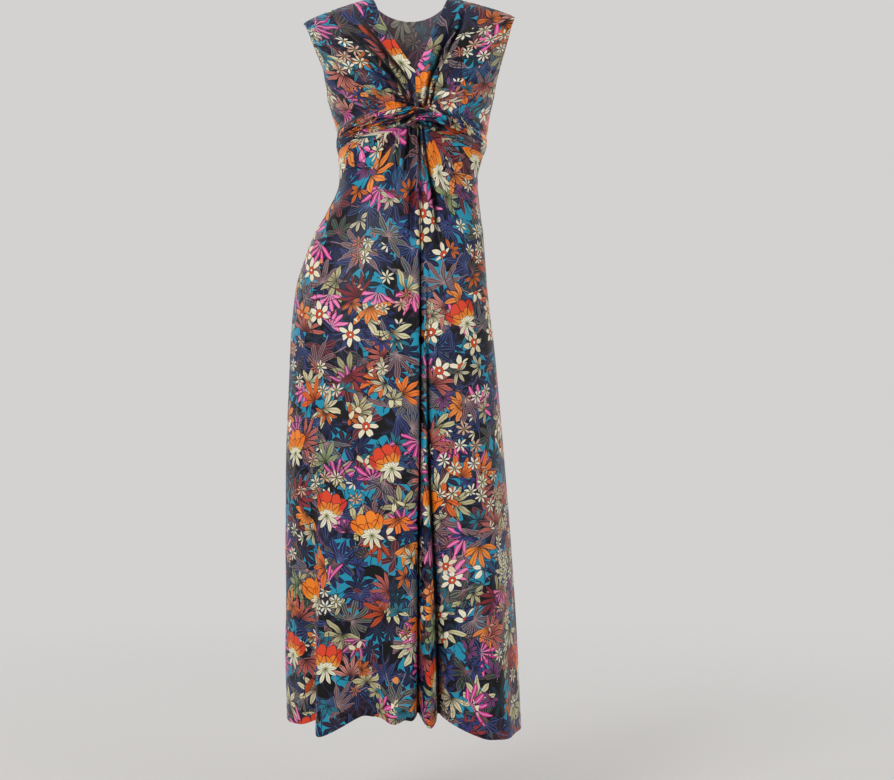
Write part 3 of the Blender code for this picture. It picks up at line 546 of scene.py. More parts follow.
# %% The fans of gathers beside the knot
# One row per gather: where it starts and ends, its bend, its width at both ends, its depth and its lip
Ray = namedtuple("Ray", "x z x_end z_end bend width width_end depth lip")

BODICE_RIGHT_RAYS = (
    Ray(0.0085, -0.190, 0.0020, -0.150, 0.000, 0.0016, 0.0026, 0.0022, 0.5),
    Ray(0.0045, -0.191, -0.0075, -0.145, 0.001, 0.0017, 0.0028, 0.0026, 0.5),
    Ray(0.0005, -0.192, -0.0200, -0.138, 0.002, 0.0018, 0.0034, 0.0028, -0.5),
    Ray(-0.0040, -0.193, -0.0330, -0.132, 0.004, 0.0019, 0.0040, 0.0028, 0.5),
    Ray(-0.0085, -0.194, -0.0420, -0.142, 0.004, 0.0020, 0.0042, 0.0026, -0.5),
    Ray(-0.0130, -0.196, -0.0560, -0.158, 0.005, 0.0021, 0.0046, 0.0024, 0.5),
    Ray(-0.0185, -0.198, -0.0680, -0.174, 0.004, 0.0022, 0.0050, 0.0020, 0.5),
    Ray(-0.0250, -0.200, -0.0800, -0.186, 0.003, 0.0024, 0.0050, 0.0016, -0.5),
    Ray(-0.0360, -0.204, -0.0900, -0.198, 0.002, 0.0026, 0.0052, 0.0014, 0.5),
)
BODICE_LEFT_RAYS = (
    Ray(0.0170, -0.190, 0.0230, -0.150, 0.000, 0.0016, 0.0026, 0.0022, -0.5),
    Ray(0.0210, -0.191, 0.0320, -0.145, -0.001, 0.0017, 0.0028, 0.0026, -0.5),
    Ray(0.0250, -0.192, 0.0440, -0.140, -0.002, 0.0018, 0.0034, 0.0028, 0.5),
    Ray(0.0295, -0.193, 0.0560, -0.142, -0.004, 0.0019, 0.0040, 0.0026, -0.5),
    Ray(0.0345, -0.194, 0.0680, -0.152, -0.004, 0.0020, 0.0042, 0.0024, 0.5),
    Ray(0.0400, -0.196, 0.0780, -0.168, -0.005, 0.0021, 0.0046, 0.0020, -0.5),
    Ray(0.0460, -0.198, 0.0920, -0.180, -0.004, 0.0022, 0.0050, 0.0016, -0.5),
    Ray(0.0560, -0.203, 0.1040, -0.193, -0.003, 0.0024, 0.0052, 0.0014, 0.5),
)
SKIRT_RAYS = (
    Ray(-0.0330, -0.237, -0.0700, -0.300, 0.004, 0.0026, 0.0060, 0.0018, 0.5),
    Ray(-0.0260, -0.233, -0.0530, -0.330, 0.004, 0.0024, 0.0060, 0.0026, -0.5),
    Ray(-0.0190, -0.230, -0.0400, -0.290, 0.003, 0.0022, 0.0050, 0.0028, 0.5),
    Ray(-0.0130, -0.227, -0.0270, -0.345, 0.002, 0.0020, 0.0052, 0.0030, 0.5),
    Ray(-0.0070, -0.225, -0.0140, -0.300, 0.001, 0.0019, 0.0044, 0.0030, -0.5),
    Ray(-0.0020, -0.224, -0.0020, -0.330, 0.000, 0.0018, 0.0040, 0.0032, 0.5),
    Ray(0.0040, -0.223, 0.0040, -0.300, 0.000, 0.0017, 0.0034, 0.0030, -0.5),
    Ray(0.0100, -0.222, 0.0105, -0.290, 0.000, 0.0017, 0.0030, 0.0030, 0.5),
    Ray(0.0170, -0.222, 0.0200, -0.320, 0.000, 0.0017, 0.0032, 0.0034, -0.5),
    Ray(0.0235, -0.223, 0.0300, -0.345, -0.001, 0.0018, 0.0042, 0.0034, 0.5),
    Ray(0.0300, -0.225, 0.0480, -0.300, -0.003, 0.0020, 0.0050, 0.0030, -0.5),
    Ray(0.0360, -0.228, 0.0640, -0.320, -0.005, 0.0022, 0.0060, 0.0026, -0.5),
    Ray(0.0430, -0.231, 0.0800, -0.296, -0.006, 0.0024, 0.0060, 0.0020, 0.5),
    Ray(0.0520, -0.235, 0.0950, -0.300, -0.006, 0.0026, 0.0064, 0.0016, -0.5),
)

# Narrow folds that the cloth closes over: down the bodice to the knot, and down the skirt from it
RIGHT_SLITS = (
    Fold("along the neck strip", ((-0.0975, 0.000), (-0.0955, -0.0124), (-0.0825, -0.0382),
          (-0.0642, -0.0634), (-0.0463, -0.0872), (-0.0286, -0.1125), (-0.0111, -0.1331),
          (0.0005, -0.1525), (0.0062, -0.188)),
         (0.0032, 0.0022), (0.0055, 0.0075, 0.006), 0.4),
    Fold("second", ((-0.1206, -0.054), (-0.0989, -0.0656), (-0.0833, -0.0763), (-0.0655, -0.0951),
          (-0.0479, -0.114), (-0.0245, -0.141), (-0.0114, -0.1606), (-0.001, -0.189)),
         (0.0028, 0.0022), (0.002, 0.0062, 0.005), -0.4),
    Fold("between them", ((-0.090, -0.046), (-0.0695, -0.068), (-0.0465, -0.094), (-0.026, -0.122),
          (-0.008, -0.150)),
         (0.0022, 0.0020), (0.001, 0.0038, 0.001), 0.4),
)
LEFT_SLITS = (
    Fold("along the neck strip", ((0.0743, -0.035), (0.0713, -0.0498), (0.0615, -0.0699), (0.0539, -0.0912),
          (0.0483, -0.1121), (0.0402, -0.129), (0.0349, -0.1483), (0.0291, -0.188)),
         (0.0026, 0.0022), (0.001, 0.0065, 0.006), -0.4),
    Fold("second", ((0.0943, -0.012), (0.0906, -0.0332), (0.083, -0.0566), (0.0713, -0.0784),
          (0.0636, -0.0978), (0.0557, -0.1159)),
         (0.0026, 0.0022), (0.003, 0.0058, 0.001), 0.4),
    Fold("low", ((0.0523, -0.1308), (0.0444, -0.1525), (0.0380, -0.188)),
         (0.0022, 0.0020), (0.000, 0.0050, 0.004), 0.4),
)
SKIRT_SLITS = (
    Fold("down the centre", ((0.0175, -0.224),) + LONG_CENTRE_FOLD.path[1:],
         (0.0016, 0.0022), (0.0010, 0.0055, 0.005), -0.3),
    Fold("slanting", ((0.0245, -0.226), (0.0290, -0.262), (0.0349, -0.298), (0.0401, -0.322),
          (0.0453, -0.350), (0.0495, -0.385), (0.0540, -0.420), (0.0592, -0.454)),
         (0.0018, 0.0040), (0.0025, 0.0060, 0.000), 0.3),
    Fold("second", ((0.0320, -0.500),) + SECOND_CENTRE_FOLD.path[1:],
         (0.0022, 0.0043), (0.002, 0.0065, 0.006), -0.3),
    Fold("beside the knot", ((0.0040, -0.250), (0.0045, -0.310), (0.0022, -0.385), (0.0040, -0.455)),
         (0.0018, 0.0040), (0.000, 0.0030, 0.000), 0.4),
)
above = len(BODICE_RIGHT_RAYS) + len(BODICE_LEFT_RAYS)
print("gathers:", above, "above the knot and", len(SKIRT_RAYS), "below it")

# %% Soft pulls and waves
SHOULDER_PULLS = {  # soft pulls that run in from the shoulder seams: start x and z, end x and z, depth
    -1: ((-0.118, -0.008, -0.098, -0.070, 0.0022), (-0.140, -0.016, -0.116, -0.078, 0.0018),
         (-0.160, -0.024, -0.136, -0.090, 0.0014), (-0.083, 0.008, -0.060, -0.040, 0.0016)),
    1: ((0.112, -0.002, 0.096, -0.066, 0.0020), (0.132, -0.008, 0.112, -0.078, 0.0018),
        (0.155, -0.012, 0.134, -0.090, 0.0014), (0.080, 0.010, 0.060, -0.045, 0.0014)),
}
ARMHOLE_PULLS = {  # and in from the armholes towards the cups
    -1: ((-0.160, -0.100, -0.120, -0.118, 0.0016), (-0.152, -0.128, -0.110, -0.138, 0.0018),
         (-0.146, -0.160, -0.105, -0.158, 0.0016), (-0.138, -0.188, -0.100, -0.180, 0.0012)),
    1: ((0.162, -0.098, 0.126, -0.116, 0.0016), (0.155, -0.126, 0.118, -0.138, 0.0018),
        (0.149, -0.158, 0.112, -0.158, 0.0016), (0.142, -0.186, 0.106, -0.182, 0.0012)),
}
SIDE_CREASES = {  # on the skirt, in from the side seams at the waist
    -1: ((-0.124, -0.285, -0.085, -0.300, 0.0016), (-0.126, -0.318, -0.088, -0.345, 0.0014),
         (-0.146, -0.372, -0.110, -0.420, 0.0012), (-0.168, -0.410, -0.140, -0.470, 0.0010)),
    1: ((0.122, -0.290, 0.088, -0.306, 0.0016), (0.120, -0.322, 0.090, -0.350, 0.0014),
        (0.124, -0.362, 0.098, -0.412, 0.0012), (0.131, -0.410, 0.110, -0.480, 0.0010)),
}
BACK_CREASES = (  # and across the back
    (-0.110, -0.050, -0.060, -0.066, 0.0016), (0.105, -0.048, 0.055, -0.062, 0.0016),
    (-0.140, -0.110, -0.095, -0.122, 0.0018), (0.140, -0.112, 0.098, -0.126, 0.0018),
    (-0.136, -0.165, -0.080, -0.178, 0.0018), (0.140, -0.168, 0.086, -0.184, 0.0018),
    (-0.128, -0.215, -0.060, -0.228, 0.0020), (0.132, -0.220, 0.064, -0.236, 0.0020),
    (-0.124, -0.262, -0.050, -0.262, 0.0022), (0.126, -0.268, 0.052, -0.270, 0.0022),
    (-0.124, -0.304, -0.060, -0.322, 0.0020), (0.120, -0.310, 0.058, -0.330, 0.0020),
    (-0.140, -0.352, -0.080, -0.384, 0.0016), (0.122, -0.356, 0.072, -0.392, 0.0016),
    (-0.030, -0.240, 0.040, -0.250, 0.0016), (-0.040, -0.320, 0.030, -0.312, 0.0016),
)
# Long soft waves in the hanging cloth: height, width and length of a wave, phase, lean, start
Swell = namedtuple("Swell", "height wide tall phase lean start")
SKIRT_SWELLS = (
    Swell(0.0016, 0.110, 1.10, 0.4, 0.10, 0.45),
    Swell(0.0012, 0.061, 0.70, 1.9, -0.14, 0.60),
    Swell(0.0008, 0.037, 0.46, 3.1, 0.20, 0.80),
)

pull_tables = (SHOULDER_PULLS, ARMHOLE_PULLS, SIDE_CREASES)
print("soft pulls at each shoulder, armhole and side:", [len(table[1]) for table in pull_tables])

# %% Folds from those tables
RAY_MIDDLE = 0.7  # a gather's depth at its middle, as a share of its depth at its start
PULL_WIDE, PULL_BOW, PULL_LIP = 0.0055, 0.004, 0.5  # a pull's usual width, its bow and its lip
PULL_START, PULL_SPREAD = 0.5, 1.5  # its depth at its start, and its width at its end, as shares
WANDER = 1.3  # how far a wave's phase wanders on its way down
NARROW, SHADE_FULL_DEPTH = 0.0044, 0.0040  # folds narrower than this get painted shade, full where they are this deep
SHADE_LATE, SHADE_DARKEST = 1.2, 0.95  # over 1, the painted shade comes late; and how dark it is at most


def rays(table):
    """Folds along slightly bowed rays, deepest near their start."""
    folds = []
    for r in table:
        path = ((r.x, r.z), ((r.x + r.x_end) / 2 - r.bend, (r.z + r.z_end) / 2), (r.x_end, r.z_end))
        depth = (r.depth, RAY_MIDDLE * r.depth, 0.0)
        folds.append(Fold("gather", path, (r.width, r.width_end), depth, r.lip))
    return tuple(folds)


def pulls(rows, width=PULL_WIDE):
    """Short soft creases from rows of start x and z, end x and z, and depth."""
    folds = []
    for k, (x, z, x_end, z_end, depth) in enumerate(rows):
        turn = (-1) ** k
        middle = ((x + x_end) / 2 + PULL_BOW * turn, (z + z_end) / 2 + PULL_BOW * turn)
        widths, depths = (width, PULL_SPREAD * width), (PULL_START * depth, depth, 0.0)
        folds.append(Fold("pull", ((x, z), middle, (x_end, z_end)), widths, depths, PULL_LIP * turn))
    return tuple(folds)


def painted_crease_shade(folds, points):
    """Painted shade in narrow folds: how far each point is darkened, by how deep it lies there, 0 to 1."""
    deep = fold_rise([f._replace(lip=0.0) for f in folds if max(f.width) < NARROW], points)
    return eased(-deep, SHADE_FULL_DEPTH) ** SHADE_LATE * SHADE_DARKEST


def swells(table, points, down):
    """The height of long soft waves that grow from their start down to the hem."""
    rise = np.zeros(down.shape)
    for s in table:
        turn = 2 * np.pi * (points[..., 0] + s.lean * points[..., 2]) / s.wide
        wander = WANDER * np.sin(2 * np.pi * down / s.tall + s.phase)
        rise += s.height * eased(down - s.start, HEM - s.start) * np.sin(turn + s.phase + wander)
    return rise


print("folds of the skirt's front:", len(SKIRT_FRONT_FOLDS + SKIRT_SLITS + rays(SKIRT_RAYS)))

# %% [markdown]
# ## Cloth
# A panel is a closed shell as thin as cloth. It keeps two maps: "flat", in metres on the cut cloth,
# carries the print, and "UVMap" lays its face, its reverse and its rim out side by side.

# %% Shells with their maps
THIN = 0.0009  # the jersey
TURNED = 0.0006  # added where an edge is turned in
HEM_TURN, ARMHOLE_TURN, NECK_TURN = 0.022, 0.010, 0.014  # how wide that is
EDGE_RISE, EDGE_FADE = 0.0004, 0.0012  # how far a turned edge stands out, and over what it ends
REVERSE = "reverse"  # the attribute that is 1 on the inside of the cloth
CREASE_SHADE_NAME = "crease_shade"  # the attribute that carries painted shade: how much the print is darkened in narrow folds and grooves
GAP, RIM_SHARE = 0.012, 0.7  # between the parts of the laid out map, and the share that the rim takes
SHARP = math.radians(60)  # an edge that turns more than this stays crisp


def linked(name, data):
    """A new object in the scene that shows the data."""
    new = bpy.data.objects.new(name, data)
    bpy.context.scene.collection.objects.link(new)
    return new


def arc(points, axis):
    """How far each point of a grid is from its first row or column, along the surface."""
    step = np.linalg.norm(np.diff(points, axis=axis), axis=-1)
    first = np.zeros_like(step[:1]) if axis == 0 else np.zeros_like(step[:, :1])
    return np.cumsum(np.concatenate([first, step], axis=axis), axis=axis)


def at_ends(share):
    """-1 where a share is 0, 1 where it is 1, and 0 between."""
    return np.where(share == 0.0, -1.0, np.where(share == 1.0, 1.0, 0.0))


def shell(name, outer, depth, flat, crease_shade):
    """A closed shell from a grid of outer points, the way in from each, its place on the flat, and the
    painted shade in its creases.
    """
    rows, columns = outer.shape[:2]
    total = rows * columns
    number = np.arange(total).reshape(rows, columns)
    corners = (number[:-1, :-1], number[1:, :-1], number[1:, 1:], number[:-1, 1:])
    face = np.stack(corners, axis=-1).reshape(-1, 4)
    rim = np.concatenate([number[:, 0], number[-1, 1:], number[-2::-1, -1], number[0, -2:0:-1]])
    after = np.roll(rim, -1)
    edge = np.stack([after, rim, rim + total, after + total], axis=-1)
    faces = np.concatenate([face, face[:, ::-1] + total, edge])
    mesh = bpy.data.meshes.new(name)
    mesh.vertices.add(2 * total)
    mesh.vertices.foreach_set("co", np.concatenate([outer, outer - depth]).ravel())
    mesh.loops.add(faces.size)
    mesh.loops.foreach_set("vertex_index", faces.ravel().astype(np.int32))
    mesh.polygons.add(len(faces))
    mesh.polygons.foreach_set("loop_start", np.arange(0, faces.size, 4, dtype=np.int32))
    mesh.update(calc_edges=True)
    over, along = np.meshgrid(np.linspace(0.0, 1.0, columns), np.linspace(0.0, 1.0, rows))
    laid = np.stack([GAP + (0.5 - 2 * GAP) * over, GAP + (1 - 2 * GAP) * (1 - along)], axis=-1).reshape(-1, 2)
    outside = laid + np.stack([at_ends(over), -at_ends(along)], axis=-1).reshape(-1, 2) * GAP * RIM_SHARE
    rim_map = np.stack([laid[after], laid[rim], outside[rim], outside[after]], axis=1)
    maps = {
        "UVMap": np.concatenate([laid[face], laid[face[:, ::-1]] + (0.5, 0.0), rim_map]),
        "flat": np.tile(flat.reshape(-1, 2), (2, 1))[faces.ravel()],
    }
    for map_name, values in maps.items():
        mesh.uv_layers.new(name=map_name).data.foreach_set("uv", values.ravel().astype(np.float32))
    mesh.uv_layers["UVMap"].active_render = True
    mesh.uv_layers.active = mesh.uv_layers["UVMap"]
    # The second mark is painted shade for the material, set on the face and 0 on the reverse.
    marks = {REVERSE: np.repeat((0.0, 1.0), total), CREASE_SHADE_NAME: np.append(crease_shade, np.zeros(total))}
    for mark_name, values in marks.items():
        mark = mesh.attributes.new(mark_name, "FLOAT", "POINT")
        mark.data.foreach_set("value", values.astype(np.float32))
    mesh.validate()
    mesh.shade_smooth()
    mesh.set_sharp_from_angle(angle=SHARP)
    return linked(name, mesh)


def near_edge(points, edge, reach):
    """1 within reach of an edge of the grid, falling to 0 just past it."""
    axis = 0 if edge in ("top", "foot") else 1
    far = arc(points, axis)
    if edge in ("foot", "last"):
        far = (far[-1:] if axis == 0 else far[:, -1:]) - far
    return np.clip((reach - far) / EDGE_FADE + 0.5, 0.0, 1.0)


print("cloth: %.1f mm thick, and %.1f mm where an edge is turned in" % (THIN * 1000, (THIN + TURNED) * 1000))

# %% [markdown]
# ## The two fronts
# Each front hangs from its shoulder seam and is gathered into the band. Beside the neck lies a smooth
# strip, turned in at its edge. A grid of points on the solid's own surface is moved in and out by the
# folds, and then it gets its thickness. The folds end at the seams, so the pieces still meet there.

# %% Panels with their place on the printed cloth
PRINT_START = {"back_cloth": (1.90, 0.27), "twist_band_left_cloth": (0.90, 0.0)}  # cut from elsewhere
cloth = {}  # name: object
grids = {}  # name: outer points


def made(name, outer, depth, flat, crease_shade, side):
    """Keeps a panel's shell and its grid, with its columns in the order that makes it face outwards."""
    flat = flat + np.array(PRINT_START.get(name, (0.0, 0.0)))
    if side < 0:
        outer, depth, flat, crease_shade = (grid[:, ::-1] for grid in (outer, depth, flat, crease_shade))
    cloth[name], grids[name] = shell(name, outer, depth, flat, crease_shade), outer
    print(name, "is made of", outer.shape[0], "rows and", outer.shape[1], "columns")


print("pieces printed from another place on the cloth:", ", ".join(PRINT_START))

# %% The two fronts
FRONT_GRID = (150, 140)  # cells down and across
NECK_CROWD = 1.3  # over 1, the columns lie closer together beside the neckline
NECK_ROLL, ROLL_IN = 0.0016, 0.0035  # the folded neck edge stands out by this, most at this from it
MEETING = 0.01  # below the neckline, the gap between the fronts opens over this
SEAM_EASE, NECK_EASE, CENTRE_EASE = 0.006, 0.02, 0.04  # the folds die away over this
ARMHOLE_EASE, ARMHOLE_SHARE = 0.02, 0.15  # and towards the armhole, where this share of them is left
PRINT_PINCH, PINCH_TALL = 0.55, 0.055  # the gathers above the band narrow the print
PRINT_LONG, PRINT_IN = 1.05, 0.02  # the print's length on a front, and where it starts beside the neck


def front_bodice(name, side, folds):
    """One front: a smooth neck strip, pulls from the shoulder, and gathers above the band."""
    rows, columns = FRONT_GRID
    down = np.linspace(SHOULDER, BAND_TOP - SEAM_GAP / 2, rows + 1)[:, None]
    across = side * np.linspace(0.0, 1.0, columns + 1)[None, :] ** NECK_CROWD
    down, across = np.broadcast_arrays(down, across)

    def surface(d, a):
        return front(d, a, side)

    base = surface(down, across)
    base_normals = facing(surface, down, across, side)
    meeting = eased(down - NECK_FOOT, MEETING)
    base[..., 0] += side * SEAM_GAP / 2 * meeting * (np.abs(across) < NEAR)
    still = eased(BAND_TOP - down, SEAM_EASE) * eased(down - SHOULDER, SEAM_EASE)
    open_edge = eased(NECK_FOOT - down, NECK_EASE)
    still = still * (open_edge + (1 - open_edge) * eased(np.abs(across), CENTRE_EASE))
    blouse = BLOUSE * hump(down - BAND_TOP + BLOUSE_UP, BLOUSE_TALL) * (1 - across**4)
    edge = arc(base, 1)
    armhole = (edge[:, -1:] - edge) / ARMHOLE_EASE
    rise = fold_rise(folds, base) * np.clip(armhole + (down > UNDERARM - ARMHOLE_EASE), ARMHOLE_SHARE, 1.0)
    roll = NECK_ROLL * hump(edge - ROLL_IN, ROLL_IN) * open_edge
    outer = base + base_normals * ((rise + blouse) * still + roll)[..., None]
    neck = near_edge(outer, "first", NECK_TURN) * (down < NECK_FOOT)
    sleeve = near_edge(outer, "last", ARMHOLE_TURN) * (down < UNDERARM)
    outer = outer + base_normals * (EDGE_RISE * sleeve * still)[..., None]
    normals = grid_facing(outer, side)
    seam = down[:, -1] >= UNDERARM
    normals[seam, -1] = base_normals[seam, -1]
    normals = squared(normals, base_normals, ("foot",))
    below = down[:, 0] > NECK_FOOT
    normals[below, 0] = base_normals[below, 0]
    normals[0] = shoulder_up(side)
    thick = THIN + TURNED * np.maximum(neck, sleeve)
    pinch = PRINT_PINCH * hump(down - BAND_TOP, PINCH_TALL)
    flat = np.stack([side * (arc(outer, 1) + PRINT_IN) * (1 + pinch), -down * PRINT_LONG], axis=-1)
    made(name, outer, normals * thick[..., None], flat, painted_crease_shade(folds, base), side)


for word, side, large, narrow, fan in (
    ("right", -1, RIGHT_FRONT_FOLDS, RIGHT_SLITS, BODICE_RIGHT_RAYS),
    ("left", 1, LEFT_FRONT_FOLDS, LEFT_SLITS, BODICE_LEFT_RAYS),
):
    small = rays(fan) + pulls(SHOULDER_PULLS[side] + ARMHOLE_PULLS[side])
    front_bodice("front_bodice_%s_cloth" % word, side, large + narrow + small)

# %% [markdown]
# ## The twist knot
# Each band is drawn together lengthwise, so it has long rolls that wander along it and run into
# the knot. The right band passes over the centre as a loop, and the left one comes out below it
# as a small puff. The rolls are what stands between grooves in an arched band.

# %% The grooves in the bands
# Place and sway over the width, turns of the sway, phase, width, depth, and from where to where the
# groove runs, as shares of the free band
Groove = namedtuple("Groove", "place sway turns phase width depth start end")
RIGHT_GROOVES = (
    Groove(0.13, 0.03, 0.8, 0.2, 0.035, 0.26, 0.00, 1.00),
    Groove(0.29, 0.05, 1.1, 1.3, 0.040, 0.40, 0.10, 1.00),
    Groove(0.47, 0.06, 0.7, 2.4, 0.050, 0.62, 0.00, 1.00),
    Groove(0.62, 0.05, 1.3, 0.9, 0.036, 0.36, 0.25, 1.00),
    Groove(0.75, 0.04, 0.9, 3.0, 0.040, 0.46, 0.00, 0.85),
    Groove(0.88, 0.03, 1.2, 1.7, 0.034, 0.28, 0.15, 1.00),
)
LEFT_GROOVES = (
    Groove(0.12, 0.03, 0.9, 2.1, 0.034, 0.28, 0.05, 1.00),
    Groove(0.26, 0.05, 1.2, 0.4, 0.042, 0.46, 0.00, 1.00),
    Groove(0.42, 0.05, 0.8, 1.2, 0.036, 0.34, 0.20, 1.00),
    Groove(0.56, 0.06, 1.0, 2.8, 0.050, 0.64, 0.00, 1.00),
    Groove(0.73, 0.05, 1.2, 0.1, 0.038, 0.42, 0.00, 1.00),
    Groove(0.87, 0.03, 0.8, 1.5, 0.034, 0.30, 0.10, 0.90),
)
FADE_IN, FADE_OUT = (0.12, 0.15), (0.10, 0.3)  # a groove's end: over how much, and the share that is left


def grooved(arch, width, along, grooves):
    """A band's arch over its width, cut by grooves that sway along it."""
    for g in grooves:
        place = g.place + g.sway * np.sin(2 * np.pi * g.turns * along + g.phase)
        starts = np.clip((along - g.start) / FADE_IN[0] + FADE_IN[1], FADE_IN[1], 1.0)
        ends = np.clip((g.end - along) / FADE_OUT[0] + FADE_OUT[1], FADE_OUT[1], 1.0)
        arch = arch * (1 - g.depth * (starts * ends) * hump(width - place, g.width))
    return arch


print("rolls in the bands:", len(RIGHT_GROOVES) + 1, "and", len(LEFT_GROOVES) + 1)

# %% The twist bands
BAND_GRID = (64, 100, 72)  # cells over its width, along its free part, and through the knot
KNOT_CROWD = 1.15  # over 1, the columns lie closer together beside the knot
PUFF = (0.035, 0.055, 0.45, 0.30, 0.006)  # across, its reach, place over the width, its reach, and height
PRINT_DRAWN_IN, PRINT_DRAWN_OUT = 1.35, 1.1  # the gathers narrow the print by this, over a band and along it
GROOVE_SHADE_BELOW, GROOVE_SHADE_MOST = 0.75, 0.8  # painted shade: grooves lower than this share of the whole arch are darkened, by this at most
BAND_LOW = 0.004  # but not where the band stands out by less than this


def twist_band(name, side, rise_table, grooves, puff):
    """One band, from its side seam to its point behind the knot, with its rolls and painted shade in its
    grooves.
    """
    rows, columns, knot_cells = BAND_GRID
    free = KNOT_REACH + (1 - KNOT_REACH) * np.linspace(1.0, 0.0, columns + 1)[:-1] ** KNOT_CROWD
    knot = np.linspace(KNOT_REACH, -KNOT_REACH, knot_cells + 1)
    across = side * np.append(free, knot)[None, :]
    top, foot = np.full(across.shape, BAND_TOP), np.full(across.shape, BAND_FOOT)
    if side < 0:
        foot = np.where(across > -KNOT_REACH - NEAR, split_line(across), BAND_FOOT)
    else:
        top = np.where(across < KNOT_REACH + NEAR, split_line(across), BAND_TOP)
    width = np.linspace(0.0, 1.0, rows + 1)[:, None]
    down = top + SEAM_GAP / 2 + (foot - top - SEAM_GAP) * width
    across = np.broadcast_to(across, down.shape)
    base = front(down, across)
    base_normals = facing(front, down, across, 1)
    along = eased(1 - side * across, 1 + KNOT_REACH)  # 0 at the side seam
    arch = grooved(np.sin(np.pi * width) ** BAND_ARCH, width, along, grooves)
    knots, heights = zip(*rise_table)
    rise = smooth(knots, heights, across) * arch
    if puff:
        at, reach, place, wide, height = PUFF
        swell = np.exp(-(((across - at) / reach) ** 2) - ((width - place) / wide) ** 2)
        rise = rise + height * swell * np.sin(np.pi * width)
    outer = base + base_normals * rise[..., None]
    normals = squared(grid_facing(outer, -side), base_normals, ("top", "foot", "first", "last"))
    backing = np.maximum(rise - THIN, 0.0) * BAND_BACKING
    depth = normals * THIN + base_normals * backing[..., None]
    flat = np.stack([arc(outer, 1) * PRINT_DRAWN_OUT, -arc(outer, 0) * PRINT_DRAWN_IN], axis=-1)
    # Painted shade: the print darkens in the deep grooves between the rolls.
    groove_shade = np.clip(GROOVE_SHADE_BELOW - arch, 0.0, 1.0) * GROOVE_SHADE_MOST * (rise > BAND_LOW)
    made(name, outer, depth, flat, groove_shade, -side)


twist_band("twist_band_right_cloth", -1, RIGHT_BAND_RISE, RIGHT_GROOVES, puff=False)
twist_band("twist_band_left_cloth", 1, LEFT_BAND_RISE, LEFT_GROOVES, puff=True)

# %% [markdown]
# ## The skirt and the back
# The long folds hang straight down from where the cloth is drawn in. Where a fold swings out, it
# lowers the hem a little, and where it swings in, it lifts it. The grid's columns follow the deepest
# folds, so that their edges stay crisp.

# %% A panel that hangs to the hem
SIDE_EASE, TOP_EASE = 0.05, 0.004  # the folds die away over this towards a side seam, and at the top


def hang(name, surface, down, across, outward, folds, centre, pinch):
    """A panel with its folds, its turned edges and its print, drawn in by pinch about its centre column."""
    base = surface(down, across)
    base_normals = facing(surface, down, across, outward)
    rise = (fold_rise(folds, base) + swells(SKIRT_SWELLS, base, down)) * eased(1 - np.abs(across), SIDE_EASE)
    still = eased(down - down[0], TOP_EASE)
    outer = base + base_normals * (rise * still)[..., None]
    sag = np.where(rise > 0, HEM_SAG, HEM_LIFT) * rise
    outer[..., 2] -= sag * eased(down - SAG_START, HEM - SAG_START)
    turned_up = near_edge(outer, "foot", HEM_TURN)
    armholes = [near_edge(outer, edge, ARMHOLE_TURN) for edge in ("first", "last")]
    sleeve = np.maximum(*armholes) * (down < UNDERARM)
    outer = outer + base_normals * (EDGE_RISE * (turned_up + sleeve * still))[..., None]
    normals = grid_facing(outer, outward)
    below_armhole = down[:, 0] >= UNDERARM
    for seam in (0, -1):
        normals[below_armhole, seam] = base_normals[below_armhole, seam]
    if below_armhole.all():
        normals = squared(normals, base_normals, ("top",))
    else:
        for side in (-1, 1):
            normals[0, across[0] * side >= NECK_SHARE] = shoulder_up(side)
    thick = THIN + TURNED * np.maximum(turned_up, sleeve)
    u = arc(outer, 1)
    flat = np.stack([(u - u[:, centre : centre + 1]) * (1 + pinch), -down], axis=-1)
    made(name, outer, normals * thick[..., None], flat, painted_crease_shade(folds, base), outward)


print("the folds move the hem's edge from", SAG_START, "m down; the hem is turned up by", HEM_TURN, "m")

# %% The skirt's front
SKIRT_ROWS, SKIRT_COLUMNS = 224, (36, 68, 30, 70)  # columns to the overhang, centre folds and left side
ROW_MIX, ROW_CROWD = 0.45, 1.7  # this share of the rows' spacing crowds towards the gathers
# The folds that the columns follow, each with its x at the top, and where below the band that begins
GUIDES = ((RIGHT_OVERHANG, -0.075), (LONG_CENTRE_FOLD, 0.0175), (SECOND_CENTRE_FOLD, 0.034))
GUIDE_BELOW = 0.01
CROWDS = ((False, True), (False, True), (False, False), (True, False))  # at each span's start and end
GATHER_PINCH, GATHER_TALL, GATHER_WIDE = 0.5, 0.07, 0.5  # the gathers below the knot narrow the print
SIDE_CREASE_WIDE = 0.007


def fine_skirt(name):
    """The skirt's front, whose columns follow its three deepest folds."""
    t = np.linspace(0.0, 1.0, SKIRT_ROWS + 1)
    start = BAND_FOOT + SEAM_GAP / 2
    down = start + (HEM - start) * ((1 - ROW_MIX) * t + ROW_MIX * t**ROW_CROWD)
    guides = []
    for fold, first_x in GUIDES:
        path = np.array([(first_x, -BAND_FOOT)] + [p for p in fold.path if p[1] < -BAND_FOOT - GUIDE_BELOW])
        guides.append(across_of(smooth(-path[:, 1], path[:, 0], down), down))
    ends = [np.full(down.shape, -1.0)] + guides + [np.full(down.shape, 1.0)]
    spans = []
    for k, (cells, crowded) in enumerate(zip(SKIRT_COLUMNS, CROWDS)):
        span = between(ends[k][:, None], ends[k + 1][:, None], cells, *crowded)
        spans.append(span if k == 0 else span[:, 1:])
    across = np.concatenate(spans, axis=1)
    down = np.broadcast_to(down[:, None], across.shape)
    pinch = GATHER_PINCH * hump(down - BAND_FOOT, GATHER_TALL) * hump(across, GATHER_WIDE)
    creases = pulls(SIDE_CREASES[-1] + SIDE_CREASES[1], SIDE_CREASE_WIDE)
    folds = SKIRT_FRONT_FOLDS + SKIRT_SLITS + rays(SKIRT_RAYS) + creases
    hang(name, front, down, across, 1, folds, sum(SKIRT_COLUMNS[:2]), pinch)


